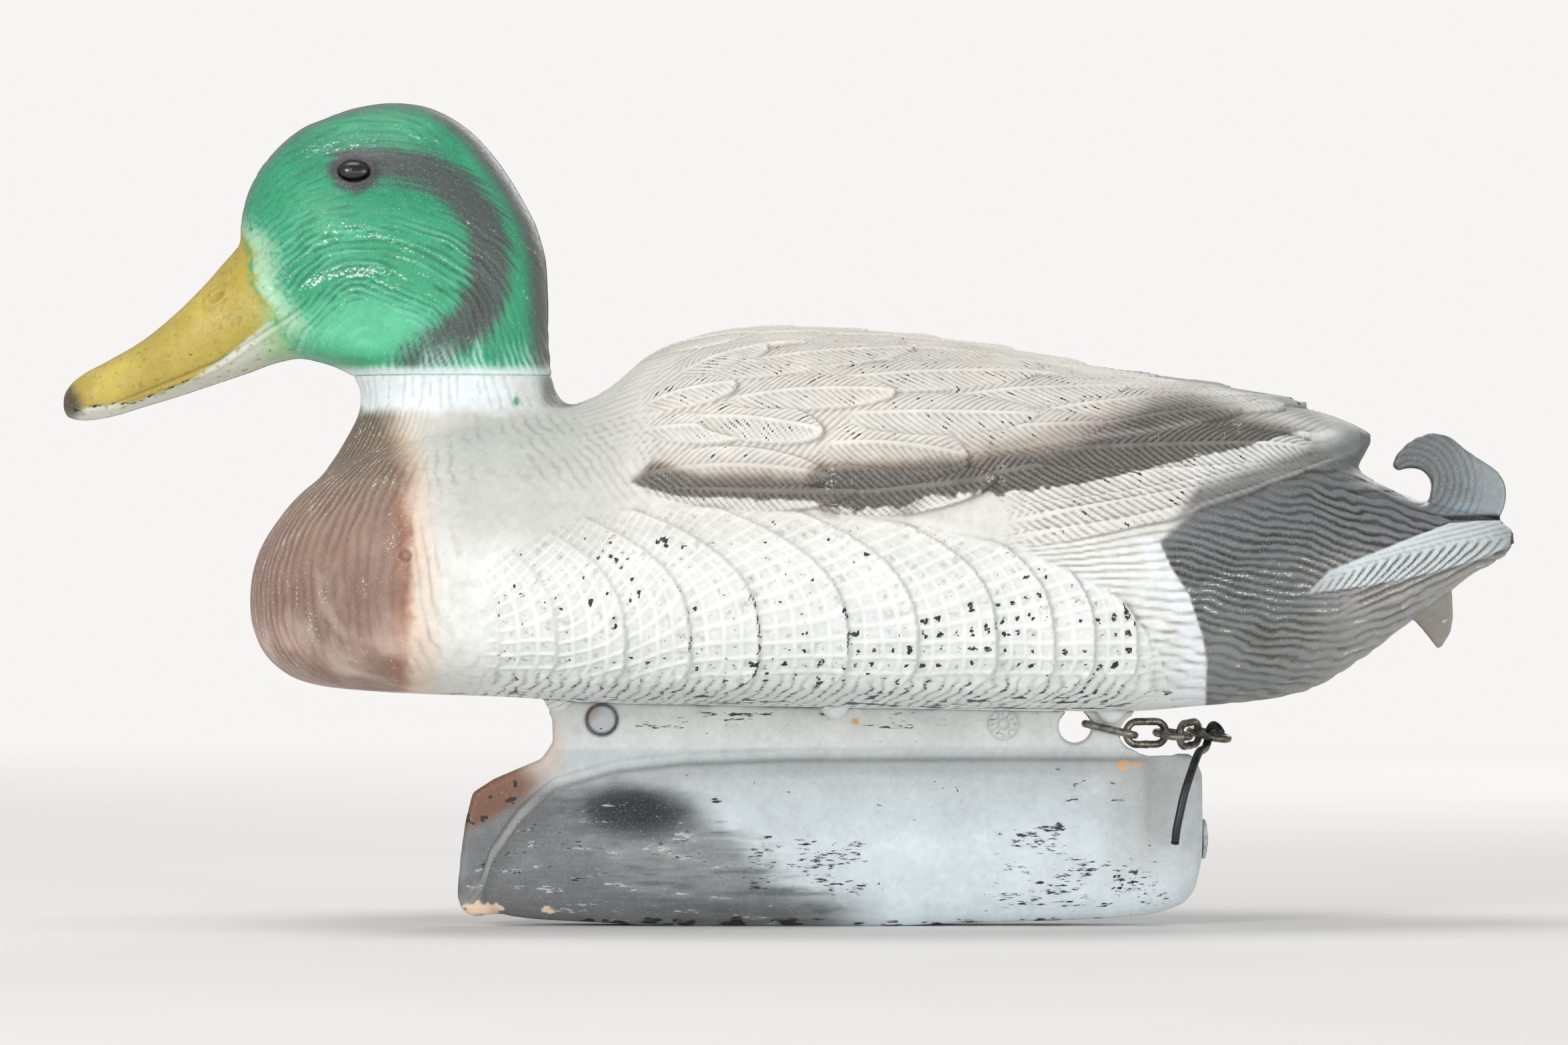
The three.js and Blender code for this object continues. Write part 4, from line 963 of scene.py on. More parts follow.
# painted shade: recesses darkened by their depth below the smoothed relief; bulges lightened as painted light
cavity = relaxed(relief, edges, plain, 5)[:, 0] - relief
wide_cavity = relaxed(relief, edges, plain, 30)[:, 0] - relief
shadow = np.clip(1.5 * np.clip(cavity, 0, 0.3) + 0.5 * np.clip(wide_cavity, 0, 0.5), 0, 0.42)
shadow *= (1 - 0.75 * pocket) * (1 - 0.35 * wing_zone)
paint = paint * grain[:, None] * (1 - shadow[:, None] * (0.75, 0.82, 0.88))
paint = paint * (1 + 0.10 * np.clip(-wide_cavity, 0, 0.5))[:, None]
# painted shade in the recessed pits of the pocket's grid cells
paint = blended(paint, (212, 213, 209), 0.14 * pocket * (1 - low_strokes) * smooth_step(pit, 0.3, 1.0))
# painted shade along the step at the edge of each feather band
band_line = np.minimum(np.abs(warped - band_start), np.abs(warped - band_end))
paint = blended(paint, (176, 180, 182), 0.4 * pocket * np.exp(-(band_line / 0.7) ** 2) * smooth_step(w, 66, 74) * (0.4 + n_mid))
paint = blended(paint, (164, 150, 134), 0.6 * dirt)
paint = blended(paint, (160, 167, 173), 0.35 * low_stroke)
add_attribute(body.data, "paint", paint)
add_attribute(body.data, "chip", np.clip(chip, 0, 1.2))
add_attribute(body.data, "rub", np.clip(rub, 0, 1))
add_attribute(body.data, "metallic", np.clip(0.5 * rump * (1 - tail_leaf) + 0.6 * curl, 0, 1))
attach(body, "decoy")
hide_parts("body_shell")

# ---------------------------------------------------------------- head
head, co, edges = remeshed(
    "head_skin",
    [
        upright_loft(CRANIUM, eased(HEAD_BOTTOM, 238.4, 160), 160, 2.15),
        tongue_loft(BILL, -210.1, -130, 150, 120, 2.3, 0.42),
    ],
    0.5,
)
x, y, z = co.T
seam = (z < HEAD_BOTTOM + 0.35) & (z > HEAD_BOTTOM - 0.7) & (np.abs(x + 97) < 32)
plain = np.full(len(co), 0.5)
co = relaxed(co, edges, plain, 5)
cheek_zone = inside_x(x, -158, -130, 5) * (1 - smooth_step(z, 198, 206)) * smooth_step(z, 160, 162)
co = relaxed(co, edges, 0.55 * cheek_zone, 80)
crown_zone = smooth_step(z, 232, 236)
co = relaxed(co, edges, 0.5 * crown_zone, 30)
co = relaxed(co, edges, 0.55 * inside_x(x, -164, -150, 4) * inside_x(z, 190, 207, 5), 70)
co[seam, 2] = HEAD_BOTTOM
put(head.data, co)
normal = normals_of(head.data)
x, y, z = co.T
u, w = seen_from_side(co)
side_on = np.abs(normal[:, 1])
n_big, n_mid, n_fine = noise(co, 14, 61, 3), noise(co, 5, 62, 3), noise(co, 1.8, 63, 2)

FACE_EDGE = [(160, -140), (170, -145), (178, -149.4), (181, -152), (186, -155), (195.8, -155.6), (198.7, -157.5),
             (203, -160), (240, -162)]
face_edge = np.interp(w, *np.array(FACE_EDGE, float).T)
bill = 1 - smooth_step(u, face_edge - 0.5, face_edge + 0.5)
UPPER_LIP = [(-210, 150.6), (-197.6, 150.4), (-166, 163.3), (-154, 171), (-142, 179)]
LOWER_LIP = [(-210, 150.2), (-205, 151), (-190, 152.6), (-175, 158.6), (-165, 165), (-150, 177)]
upper_lip = to_line(u, w, UPPER_LIP)
lower_lip = to_line(u, w, LOWER_LIP)
to_lip = inside_x(u, -204, -143, 3) * smooth_step(side_on, 0.2, 0.5)
relief = np.zeros(len(co))
relief -= 0.5 * np.exp(-((upper_lip - 0.2) / 0.55) ** 2) * to_lip
relief += 0.35 * np.exp(-((upper_lip - 1.8) / 0.8) ** 2) * to_lip * smooth_step(u, -190, -170)
relief -= 0.4 * np.exp(-((lower_lip - 1.2) / 0.5) ** 2) * inside_x(u, -204, -156, 4) * smooth_step(side_on, 0.2, 0.5)
# face stands a little proud of the bill, with a soft edge
relief += 0.5 * smooth_step(u, face_edge - 2, face_edge + 2) * (1 - smooth_step(u, face_edge + 2, face_edge + 13)) * smooth_step(w, 176, 181)
# nostril: a slanted oval with a raised rim
nu, nw = u + 166, w - 182
along, aside = nu * 0.82 + nw * 0.57, -nu * 0.57 + nw * 0.82
nostril = np.hypot(along / 3.4, aside / 1.5)
relief += (0.55 * np.exp(-((nostril - 1.05) / 0.28) ** 2) - 0.45 * (1 - smooth_step(nostril, 0.3, 0.9))) * (side_on > 0.2)

# combed feathers that sweep round the cheek
psi = np.sqrt(((u + 121) / 50) ** 2 + ((w - 166) / 44) ** 2)
turn = np.arctan2((w - 166) / 44, (u + 121) / 50)
sweep = psi / 0.046 + 2.2 * n_big + 0.5 * np.sin(turn * 5 + 2)
round_psi = np.sqrt(((u + 122) / 50) ** 2 + ((w - 168) / 70) ** 2)
high_sweep = round_psi / 0.036 + 2.4 * n_big
crown_side = smooth_step(w, 200, 214)
back_x = np.interp(w, [160, 191.8, 201.8, 210, 219, 228, 234], [-69, -70.5, -73, -77, -83, -90, -97])
feathered = ((1 - bill) * smooth_step(psi, 0.25, 0.45) * smooth_step(w, 160.5, 163)
             * (1 - 0.8 * smooth_step(u, back_x - 14, back_x - 5)))
strand = noise(np.stack((psi * 300, turn * 11, np.zeros(len(co))), -1), 6, 64, 2)
cheek_strength = 0.22 + 0.95 * inside_x(w, 174, 203, 7) * inside_x(u, -146, -86, 8)
ridges = comb(sweep) * (1 - crown_side) + comb(high_sweep) * crown_side
relief += 0.46 * ridges * feathered * cheek_strength * (1.6 * smooth_step(strand, 0.3, 0.75))
low_neck = (1 - smooth_step(w, 168, 180)) * smooth_step(w, 160, 162) * (u > -132)
relief += 0.34 * comb(u / 2.1 + (w - 160) * 0.18 + 1.2 * n_big) * low_neck * (0.3 + n_mid) * smooth_step(u, -112, -100)
# eyes: socket, lids
eye_u, eye_w = u - (VIEW_X + (EYE_X - VIEW_X) * 1.0095), w - (VIEW_Z + (EYE_Z - VIEW_Z) * 1.0095)
eye_r = np.hypot(eye_u / (EYE_LENGTH / 2), eye_w / (EYE_HEIGHT / 2))
relief *= smooth_step(eye_r, 1.1, 1.9)
relief -= 1.5 * (1 - smooth_step(eye_r, 0.86, 1.06))
relief += 0.55 * np.exp(-((eye_r - 1.22) / 0.16) ** 2)
brow = np.exp(-((w - 222.6 - 0.02 * (u + 125) ** 2 * -0.4) / 1.0) ** 2) * inside_x(u, -131, -116, 4)
relief += 0.3 * brow
spine = np.exp(-(y / 0.5) ** 2)
relief += 0.35 * spine * (1 - smooth_step(u, -70, -60)) * ((normal[:, 0] > 0.2) | (normal[:, 2] > 0.5) | (w < 175))
relief += 0.05 * (n_fine - 0.5) + 0.08 * (n_mid - 0.5)
relief[seam] = 0
put(head.data, co + normal * relief[:, None])

GREEN = np.array([56.0, 163, 119])
paint = np.tile(GREEN, (len(co), 1))
paint = blended(paint, (104, 208, 162), 0.8 * (1 - smooth_step(np.hypot((u + 122) / 26, (w - 174) / 11), 0.35, 1.25)))
paint = blended(paint, (40, 130, 98), 0.6 * inside_x(w, 206, 240, 8) * smooth_step(n_big, 0.35, 0.65))
paint = blended(paint, (128, 214, 186), 0.45 * smooth_step(strand, 0.5, 0.72) * inside_x(w, 165, 205, 8) * inside_x(u, -150, -86, 8))
paint = blended(paint, (30, 110, 84), 0.34 * smooth_step(-ridges, 0.35, 0.9) * feathered * smooth_step(strand, 0.3, 0.7))
# grey back of the head and top
edge_dark = np.minimum(np.abs(y) / 9.0, 1)
paint = blended(paint, (92, 90, 90), 0.95 * smooth_step(u, back_x - 8, back_x - 1.5))
paint = blended(paint, (104, 116, 110), 0.75 * (1 - smooth_step(np.abs(y), 4, 12)) * (w > 200) * (u < -100))
# stripe behind the eye
STRIPE = [(-128, 221), (-116, 221.5), (-104, 219.5), (-95.5, 213.5), (-88.5, 204), (-86, 194), (-87, 184),
          (-91.5, 175), (-100, 167.5), (-109, 163)]
seg_distance = np.full(len(co), 1e9)
for (ax, az), (bx, bz) in zip(STRIPE, STRIPE[1:]):
    dx, dzz = bx - ax, bz - az
    t = np.clip(((u - ax) * dx + (w - az) * dzz) / (dx * dx + dzz * dzz), 0, 1)
    seg_distance = np.minimum(seg_distance, np.hypot(u - ax - t * dx, w - az - t * dzz))
stripe_half = np.interp(w, [160, 175, 190, 205, 215, 224], [4.2, 6.2, 5.8, 5.6, 5.4, 4.6])
stripe_streak = noise(np.stack((psi * 440, turn * 16, np.zeros(len(co))), -1), 4.0, 65, 3)
stripe = 1 - smooth_step(seg_distance + 7 * (stripe_streak - 0.5), stripe_half - 2.6, stripe_half + 2.6)
stripe *= 1 - 0.5 * smooth_step(173 - w, 0, 6) * smooth_step(comb(u / 2.1 + (w - 160) * 0.18 + 1.2 * n_big), -0.5, -0.1)
paint = blended(paint, (82, 80, 82), 0.9 * stripe)
paint = blended(paint, (72, 70, 72), 0.9 * (1 - smooth_step(np.hypot((eye_u - 0.5) / 8.6, (eye_w + 0.3) / 6.6) + 0.5 * (n_mid - 0.5), 0.62, 1.05)))
# pale speckled band beside the bill and the pale throat
band = (1 - smooth_step(u, face_edge + 3, face_edge + 13)) * (1 - bill) * inside_x(w, 170, 204, 6)
speck = noise(co, 0.9, 66, 1)
paint = blended(paint, (200, 224, 192), 0.75 * band * smooth_step(speck + 0.55 * band, 0.42, 0.9))
throat = (1 - smooth_step(w, 160, 163.5)) * (u > -132)
paint = blended(paint, (216, 234, 230), 0.85 * throat * smooth_step(n_mid + 0.3 * smooth_step(u, -112, -96), 0.42, 0.62))
low_phase = u / 2.1 + (w - 160) * 0.18 + 1.4 * n_big + 0.7 * n_mid
rise = 2.5 + 20 * smooth_step(noise(np.stack((u, y, 0 * u), -1), 5.0, 74, 2), 0.2, 0.9) * smooth_step(u, -124, -98)
pale_rise = 1 - smooth_step(w - 159.6, 0.25 * rise, rise)
paint = blended(paint, (206, 234, 228), 0.75 * pale_rise * smooth_step(comb(low_phase), -0.7, -0.1) * (u > -134)
                * (1 - 0.7 * smooth_step(u, back_x - 7, back_x - 2)))
paint = blended(paint, (224, 238, 238), 0.92 * (1 - smooth_step(w - 160 + 2 * (n_mid - 0.5), 0, 3.2)) * (u > -134)
                * (1 - 0.7 * smooth_step(u, back_x - 7, back_x - 2)))
# pale flecks where the paint is rubbed off the ridges
rub_zones = (np.exp(-((w - 226 - 0.12 * (u + 125)) / 5.0) ** 2) * inside_x(u, -143, -100, 8)
             + np.exp(-((w - 203) / 5.0) ** 2) * inside_x(u, -135, -94, 8)
             + np.exp(-((w - 187.5 - 0.1 * (u + 130)) / 5) ** 2) * inside_x(u, -147, -108, 7))
rub_cloud = noise(np.stack((psi * 120, turn * 7, np.zeros(len(co))), -1), 3.0, 67, 3)
rub = (1 - bill) * (0.23 + 0.07 * smooth_step(ridges, -0.35, 0.0) + 0.15 * np.clip(rub_zones, 0, 1) * smooth_step(rub_cloud, 0.3, 0.7)
                    + 0.10 * inside_x(w, 174, 204, 8) * smooth_step(rub_cloud, 0.5, 0.7))
rub *= smooth_step(eye_r, 1.5, 2.2)
# bill
bill_paint = np.tile(np.array([188.0, 166, 76]), (len(co), 1))
# painted highlight towards the tip of the bill
bill_paint = blended(bill_paint, (206, 190, 92), 0.6 * smooth_step(n_big, 0.35, 0.7) * (u < -170))
bill_paint = blended(bill_paint, (168, 154, 60), 0.5 * smooth_step(u, -170, -158))
lower_jaw = smooth_step(lower_lip, 0.2, 2.0)
jaw = lower_jaw * smooth_step(u, -210, -206)
bill_paint = blended(bill_paint, (214, 218, 208), 0.95 * jaw)
between = smooth_step(upper_lip, 0.2, 1.2) * (1 - jaw) * smooth_step(u, -184, -168)
bill_paint = blended(bill_paint, (214, 190, 104), 0.5 * between)
tip = 1 - smooth_step(np.hypot(u + 212, (w - 151) * 0.9) + 2.2 * (n_mid - 0.5), 3.5, 8.5)
bill_paint = blended(bill_paint, (58, 56, 50), 0.85 * tip)
bill_paint = blended(bill_paint, (150, 128, 54), 0.5 * smooth_step(noise(co, 1.0, 68, 1), 0.72, 0.85))
chin = smooth_step(u, -152, -140) * bill * (w < 178)
bill_paint = blended(bill_paint, (150, 196, 140), 0.8 * smooth_step(u, -158, -146) * (w < 180))
bill_mix = 1 - smooth_step(u + 4.5 * (speck - 0.5) + 3 * (n_mid - 0.5), face_edge - 2.2, face_edge + 2.6)
paint = paint + (bill_paint - paint) * bill_mix[:, None]
chip = np.zeros(len(co))
chip += (0.62 * np.exp(-((lower_lip - 1.0) / 0.9) ** 2) * inside_x(u, -207, -172, 4)
         * smooth_step(noise(co * (0.6, 1, 1), 1.8, 69, 2), 0.35, 0.6))
chip += 0.9 * smooth_step(noise(co, 2.0, 70, 2), 0.6, 0.7) * tip
chip += 0.6 * smooth_step(noise(co, 1.4, 71, 2), 0.82, 0.90) * (bill + 0.35)
chip += 0.9 * spine * smooth_step(u, back_x - 6, back_x - 2) * smooth_step(w, 150, 165)
chip += 0.95 * spine * (w < 170) * (normal[:, 2] < 0)
grain = 1 + 0.06 * (n_fine - 0.5) + 0.10 * (n_big - 0.5) + 0.05 * (noise(co, 0.8, 72, 1) - 0.5)
# painted shade: recesses darkened by their depth below the smoothed relief
cavity = np.clip(relaxed(relief, edges, plain, 8)[:, 0] - relief, 0, 0.4)
paint = paint * grain[:, None] * (1 - 0.5 * cavity)[:, None]
add_attribute(head.data, "paint", paint)
add_attribute(head.data, "chip", np.clip(chip, 0, 1.2))
add_attribute(head.data, "rub", np.clip(rub, 0, 1))
add_attribute(head.data, "metallic", np.zeros(len(co)))
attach(head, "decoy")
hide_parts("head_shell")

# ---------------------------------------------------------------- keel
def bulb_loft(stations):
    xs = eased(-89, 119.8, stations)[:, None]
    t = 0.5 - 0.5 * np.cos(np.linspace(0, np.pi, 60))[None, :]
    low, high = curve(BULB["bottom"])(xs), curve(BULB["top"])(xs)
    width = np.maximum(curve(BULB["half"])(xs) * curve(BULB["section"])(t), 0.5)
    zs = low + (high - low) * t
    side = np.stack((np.broadcast_to(xs, zs.shape), width, zs), -1)
    other = side[:, ::-1] * (1, -1, 1)
    return loft(np.concatenate((side, other), 1))


flange_top = [(x0, float(belly_z(x0)) - 0.3) for x0 in np.linspace(100.4, -70.8, 30)]
hole_angle = np.linspace(0, 2 * np.pi, 64, endpoint=False)
cutter = loft([[(ROPE_HOLE[0] + ROPE_HOLE[2] * math.cos(a), y0, ROPE_HOLE[1] + ROPE_HOLE[2] * math.sin(a))
                for a in hole_angle] for y0 in (9, -9)])
keel, co, edges = remeshed("keel_skin", [plate(KEEL_OUTLINE + flange_top, FLANGE_THICKNESS), bulb_loft(180)],
                           0.6, cutter)
x, y, z = co.T
plain = np.full(len(co), 0.5)
co = relaxed(co, edges, plain, 3)
join_zone = inside_x(z, 44, 52, 3) * (np.abs(y) < 7) + (1 - smooth_step(x, -84, -70)) * 0.7
join_zone *= 1 - smooth_step(x, 88, 93)      # the foot of the flange stays sharp under the chain
co = relaxed(co, edges, 0.5 * np.clip(join_zone, 0, 1), 14)
put(keel.data, co)
normal = normals_of(keel.data)
x, y, z = co.T
u, w = seen_from_side(co)
side_on = np.abs(normal[:, 1])
n_big, n_mid, n_fine = noise(co, 16, 81, 3), noise(co, 5, 82, 3), noise(co, 1.8, 83, 2)
n_scratch = noise(co * (0.16, 1, 1), 1.6, 84, 3)
relief = np.zeros(len(co))
ridge_line = np.interp(u, [-93, -88.6, -86.3, -78, -67.9, -50, -30, 0, 60, 118], [8, 13.9, 21.3, 33, 42, 47, 49.2, 50.3, 50.6, 50.6])
on_side = smooth_step(side_on, 0.15, 0.4)
ridge_run = on_side * (1 - smooth_step(u, 98, 110))
relief += 0.55 * np.exp(-((w - ridge_line) / 0.9) ** 2) * ridge_run
relief -= 0.55 * np.exp(-((w - ridge_line + 2.2) / 1.0) ** 2) * ridge_run
relief -= 0.35 * np.exp(-((u - 105) / 1.4) ** 2) * inside_x(w, 26, 49, 4) * on_side
relief += 0.5 * inside_x(u, 96, 104, 4) * inside_x(w, 22, 47, 5) * on_side
dimple_r = np.hypot(u - DIMPLE[0], w - DIMPLE[1])
on_flange = smooth_step(w, 50, 52)
relief -= on_flange * (1.0 * (1 - smooth_step(dimple_r, 3.6, 4.9)) - 0.45 * (1 - smooth_step(dimple_r, 0.5, 3.4)))
relief += 0.3 * on_flange * np.exp(-((dimple_r - 5.2) / 0.4) ** 2)
hole_r = np.hypot(u - ROPE_HOLE[0], w - ROPE_HOLE[1])
relief += 0.3 * on_flange * np.exp(-((hole_r - 5.9) / 0.5) ** 2) * (hole_r > 5.3)
# date dial moulded in the flange: two rings and ticks
dial_u, dial_w = u - 62.4, w - 58.2
dial_r, dial_a = np.hypot(dial_u, dial_w), np.arctan2(dial_w, dial_u)
relief += 0.22 * on_flange * (np.exp(-((dial_r - 3.6) / 0.35) ** 2) + np.exp(-((dial_r - 1.4) / 0.35) ** 2)
                              + np.exp(-((dial_r - 2.5) / 0.5) ** 2) * (np.cos(dial_a * 12) > 0.4))
worn_front = smooth_step(w - np.interp(u, [-95, -80, -60, -40, -20, 0, 25, 60], [12, 30, 35, 33, 26, 20, 8, 2]),
                         3, -3) * inside_x(u, -92, 20, 8)
relief += 0.13 * comb(w / 1.6 + 1.2 * n_mid) * worn_front * on_side * (0.3 + n_big) * smooth_step(w, 2, 8)
spine = np.exp(-(y / 0.5) ** 2) * (1 - on_side)
under_chain = (inside_x(x, 95, 112, 1.2) * (np.abs(y) < 7) * smooth_step(z, 49.0, 49.8) * (1 - smooth_step(z, 61, 62))
               * (1 - smooth_step(side_on, 0.5, 0.9)))
relief = relief * (1 - under_chain) - 0.75 * under_chain
relief += 0.4 * spine * (w < 62) * (1 - under_chain)
relief += (0.10 * (n_mid - 0.5) + 0.04 * (n_fine - 0.5) + 0.22 * (n_big - 0.5) * (1 - on_flange)) * (1 - under_chain)
put(keel.data, co + normal * relief[:, None])

paint = np.tile(np.array([200.0, 209, 213]), (len(co), 1))
paint = blended(paint, (196, 200, 199), 0.6 * inside_x(w, 38, 50, 5))
paint = blended(paint, (226, 227, 224), 0.8 * on_flange)
paint = blended(paint, (218, 229, 234), 0.7 * smooth_step(u, -5, 30) * (1 - smooth_step(w, 22, 36)))
# painted shade in the groove under the bulb's ridge
paint = blended(paint, (132, 135, 136), 0.75 * np.exp(-((w - ridge_line + 2.2) / 0.8) ** 2) * ridge_run)
paint = blended(paint, (166, 168, 168), 0.45 * inside_x(w - ridge_line, -7, -1.5, 1.5) * ridge_run * (0.4 + 0.8 * n_big))
# painted shadow in the vertical groove at the rear of the bulb
paint = blended(paint, (158, 158, 154), 0.65 * np.exp(-((u - 105) / 3.0) ** 2) * inside_x(w, 24, 50, 5))
paint = blended(paint, (168, 170, 168), 0.5 * inside_x(u, 92, 120, 6) * inside_x(w, 14, 44, 8))
worn_limit = np.interp(w, [0, 10, 20, 30, 38], [16, 4, -8, -20, -34])
grey = (1 - smooth_step(u - worn_limit + 20 * (n_scratch - 0.5) + 12 * (n_mid - 0.5), -13, 7)) * smooth_step(
    np.interp(u, [-95, -86, -78, -66, -50, -30, 0], [12, 26, 34, 39, 40, 36, 28]) - w + 4 * (n_mid - 0.5), -4, 5)
paint = blended(paint, (126, 130, 132), 0.9 * grey)
paint = blended(paint, (172, 174, 172), 0.55 * grey * smooth_step(n_scratch, 0.52, 0.72))
paint = blended(paint, (84, 87, 89), 0.55 * grey * smooth_step(0.5 - n_scratch, 0.02, 0.2))
# painted sheen: a lighter spot on the front of the bulb
paint = blended(paint, (178, 180, 178), 0.5 * np.exp(-((u + 78) / 7.0) ** 2 - ((w - 20) / 6.0) ** 2))
black_patch = np.exp(-((u + 44 + 0.25 * (w - 32)) / 19.0) ** 2 - ((w - 33) / 8.4) ** 2)
paint = blended(paint, (46, 48, 50), smooth_step(black_patch + 0.14 * (n_mid - 0.5) + 0.10 * (n_scratch - 0.5), 0.12, 0.95))
low_dark = smooth_step(10 - w, -3, 6) * (1 - smooth_step(u, 2, 34))
paint = blended(paint, (86, 89, 91), 0.8 * low_dark * (0.5 + 0.6 * n_mid))
front_grey = (1 - smooth_step(u + 0.9 * (w - 36), -80, -58)) * (1 - smooth_step(w, 38, 47))
paint = blended(paint, (110, 113, 115), 0.95 * front_grey * (0.9 + 0.5 * (n_mid - 0.5)))
# painted highlight along the ridge at the front of the bulb
paint = blended(paint, (178, 178, 174), 0.6 * np.exp(-((w - ridge_line + 1.5) / 1.6) ** 2) * (1 - smooth_step(u, -80, -70)))
brown = ((1 - smooth_step(u + 3 * (n_mid - 0.5), -80, -66)) * smooth_step(w + 4 * (n_mid - 0.5), 25.5, 30)
         * smooth_step(w - np.interp(u, [-95, -86, -72], [25, 31, 40]), -3, 3))
paint = blended(paint, (124, 84, 66), 0.9 * brown * (1 - 0.45 * smooth_step(w, 42, 48)))
paint = blended(paint, (206, 184, 168), 0.6 * inside_x(u, -76, -66, 3) * inside_x(w, 44, 60, 4))
cream = smooth_step(1.2 - np.hypot((u + 90) / 6.5, (w - 4.8) / 2.2) + 1.8 * (n_fine - 0.5), 0.2, 0.45)
cream = np.maximum(cream, smooth_step(1.1 - np.hypot((u + 70) / 2.4, (w - 4) / 1.2) + 2.0 * (n_fine - 0.5), 0.15, 0.4))
paint = blended(paint, (232, 206, 180), cream)
orange = smooth_step(1 - np.hypot((u - 96) / 4.0, (w - 46.8) / 1.9) + 3.2 * (n_fine - 0.5), 0.25, 0.5)
orange = np.maximum(orange, smooth_step(1 - np.hypot((u - 19.4) / 1.4, (w - 59) / 1.1), 0, 0.3))
paint = blended(paint, (226, 176, 128), 0.9 * orange)
paint = blended(paint, (204, 212, 216), 0.9 * (1 - smooth_step(dimple_r, 3.2, 4.4)) * on_flange)
dimple_shade = smooth_step(-(u - DIMPLE[0]) * 0.8 + (w - DIMPLE[1]) * 0.5, 0.6, 3.6) * (1 - smooth_step(dimple_r, 3.8, 4.6))
paint = blended(paint, (186, 158, 140), 0.8 * dimple_shade * on_flange)
paint = blended(paint, (40, 42, 44), 0.9 * np.exp(-((dimple_r - 4.4) / 0.55) ** 2) * on_flange)
dial_mark = (np.exp(-((dial_r - 4.4) / 0.4) ** 2) + np.exp(-((dial_r - 1.5) / 0.4) ** 2)
             + inside_x(dial_r, 2.1, 3.8, 0.3) * (np.cos(dial_a * 12) > 0.3))
paint = blended(paint, (164, 167, 168), 0.6 * np.clip(dial_mark, 0, 1) * on_flange)
chip = np.zeros(len(co))
dash_rows = np.exp(-((w - 57.6) / 0.7) ** 2) + 0.8 * np.exp(-((w - 59.4) / 0.7) ** 2) + np.exp(-((w - 61.2) / 0.8) ** 2)
dashes = 0.16 * smooth_step(noise(co * (0.25, 1, 1), 2.0, 85, 2), 0.35, 0.65) * np.clip(dash_rows, 0, 1)
chip += on_flange * inside_x(u, -60, 96, 6) * (0.30 + dashes * (inside_x(u, -46, -2, 3) + inside_x(u, 5, 36, 3) + 0.4))
chip = np.maximum(chip, 0.41 * grey * smooth_step(n_scratch, 0.35, 0.62) * (1 - 0.5 * low_dark))
scuff = (inside_x(u, 60, 80, 4) * inside_x(w, 20, 30, 2.5) + inside_x(u, 54, 115, 8) * inside_x(w, 3, 22, 4)
         + inside_x(u, -16, 26, 6) * inside_x(w, 6, 27, 4))
scuffed = np.clip(scuff, 0, 1) * smooth_step(noise(co * (0.4, 1, 1), 4.0, 86, 2), 0.10, 0.55)
chip = np.maximum(chip, 0.435 * scuffed)
# fine crackle: level lines of a noise
crackle = np.exp(-((noise(co, 6.5, 91, 3) - 0.5) / 0.022) ** 2) + np.exp(-((noise(co, 5.0, 92, 3) - 0.52) / 0.02) ** 2)
crackled = (np.exp(-((u - 6) / 17.0) ** 2 - ((w - 20) / 6.0) ** 2) + np.exp(-((u - 98) / 15.0) ** 2 - ((w - 12) / 6.0) ** 2)
            + np.exp(-((u - 68) / 9.0) ** 2 - ((w - 26) / 4.0) ** 2) + 0.7 * np.exp(-((u + 10) / 14.0) ** 2 - ((w - 40) / 5.0) ** 2)
            + 0.6 * inside_x(u, 30, 110, 8) * inside_x(w, 36, 44, 3))
chip = np.maximum(chip, 0.56 * np.clip(crackle, 0, 1) * smooth_step(crackled, 0.25, 0.7)
                  * smooth_step(noise(co, 9.0, 93, 2), 0.38, 0.55))
chip = np.maximum(chip, 0.50 * smooth_step(noise(co * (0.5, 1, 1), 2.6, 87, 3), 0.72, 0.80) * (w < 46) * (u > -30))
chip += 0.6 * np.exp(-((u + 21) / 3.4) ** 2 - ((w - 36) / 1.1) ** 2)
chip += 0.8 * smooth_step(noise(co, 2.4, 89, 2), 0.62, 0.7) * brown
chip += 0.5 * smooth_step(3.2 - w, 0, 2.0) * smooth_step(n_mid, 0.35, 0.6)
chip += 0.9 * spine * (w > 60)
chip *= 1 - cream
grain = 1 + 0.05 * (n_fine - 0.5) + 0.08 * (n_big - 0.5) + 0.05 * (noise(co, 0.9, 90, 1) - 0.5)
paint = paint * grain[:, None]
add_attribute(keel.data, "paint", paint)
add_attribute(keel.data, "chip", np.clip(chip, 0, 1.2))
add_attribute(keel.data, "rub", 0.46 * grey * smooth_step(n_scratch, 0.45, 0.7))
add_attribute(keel.data, "metallic", np.zeros(len(co)))
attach(keel, "decoy")
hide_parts("keel_shell")


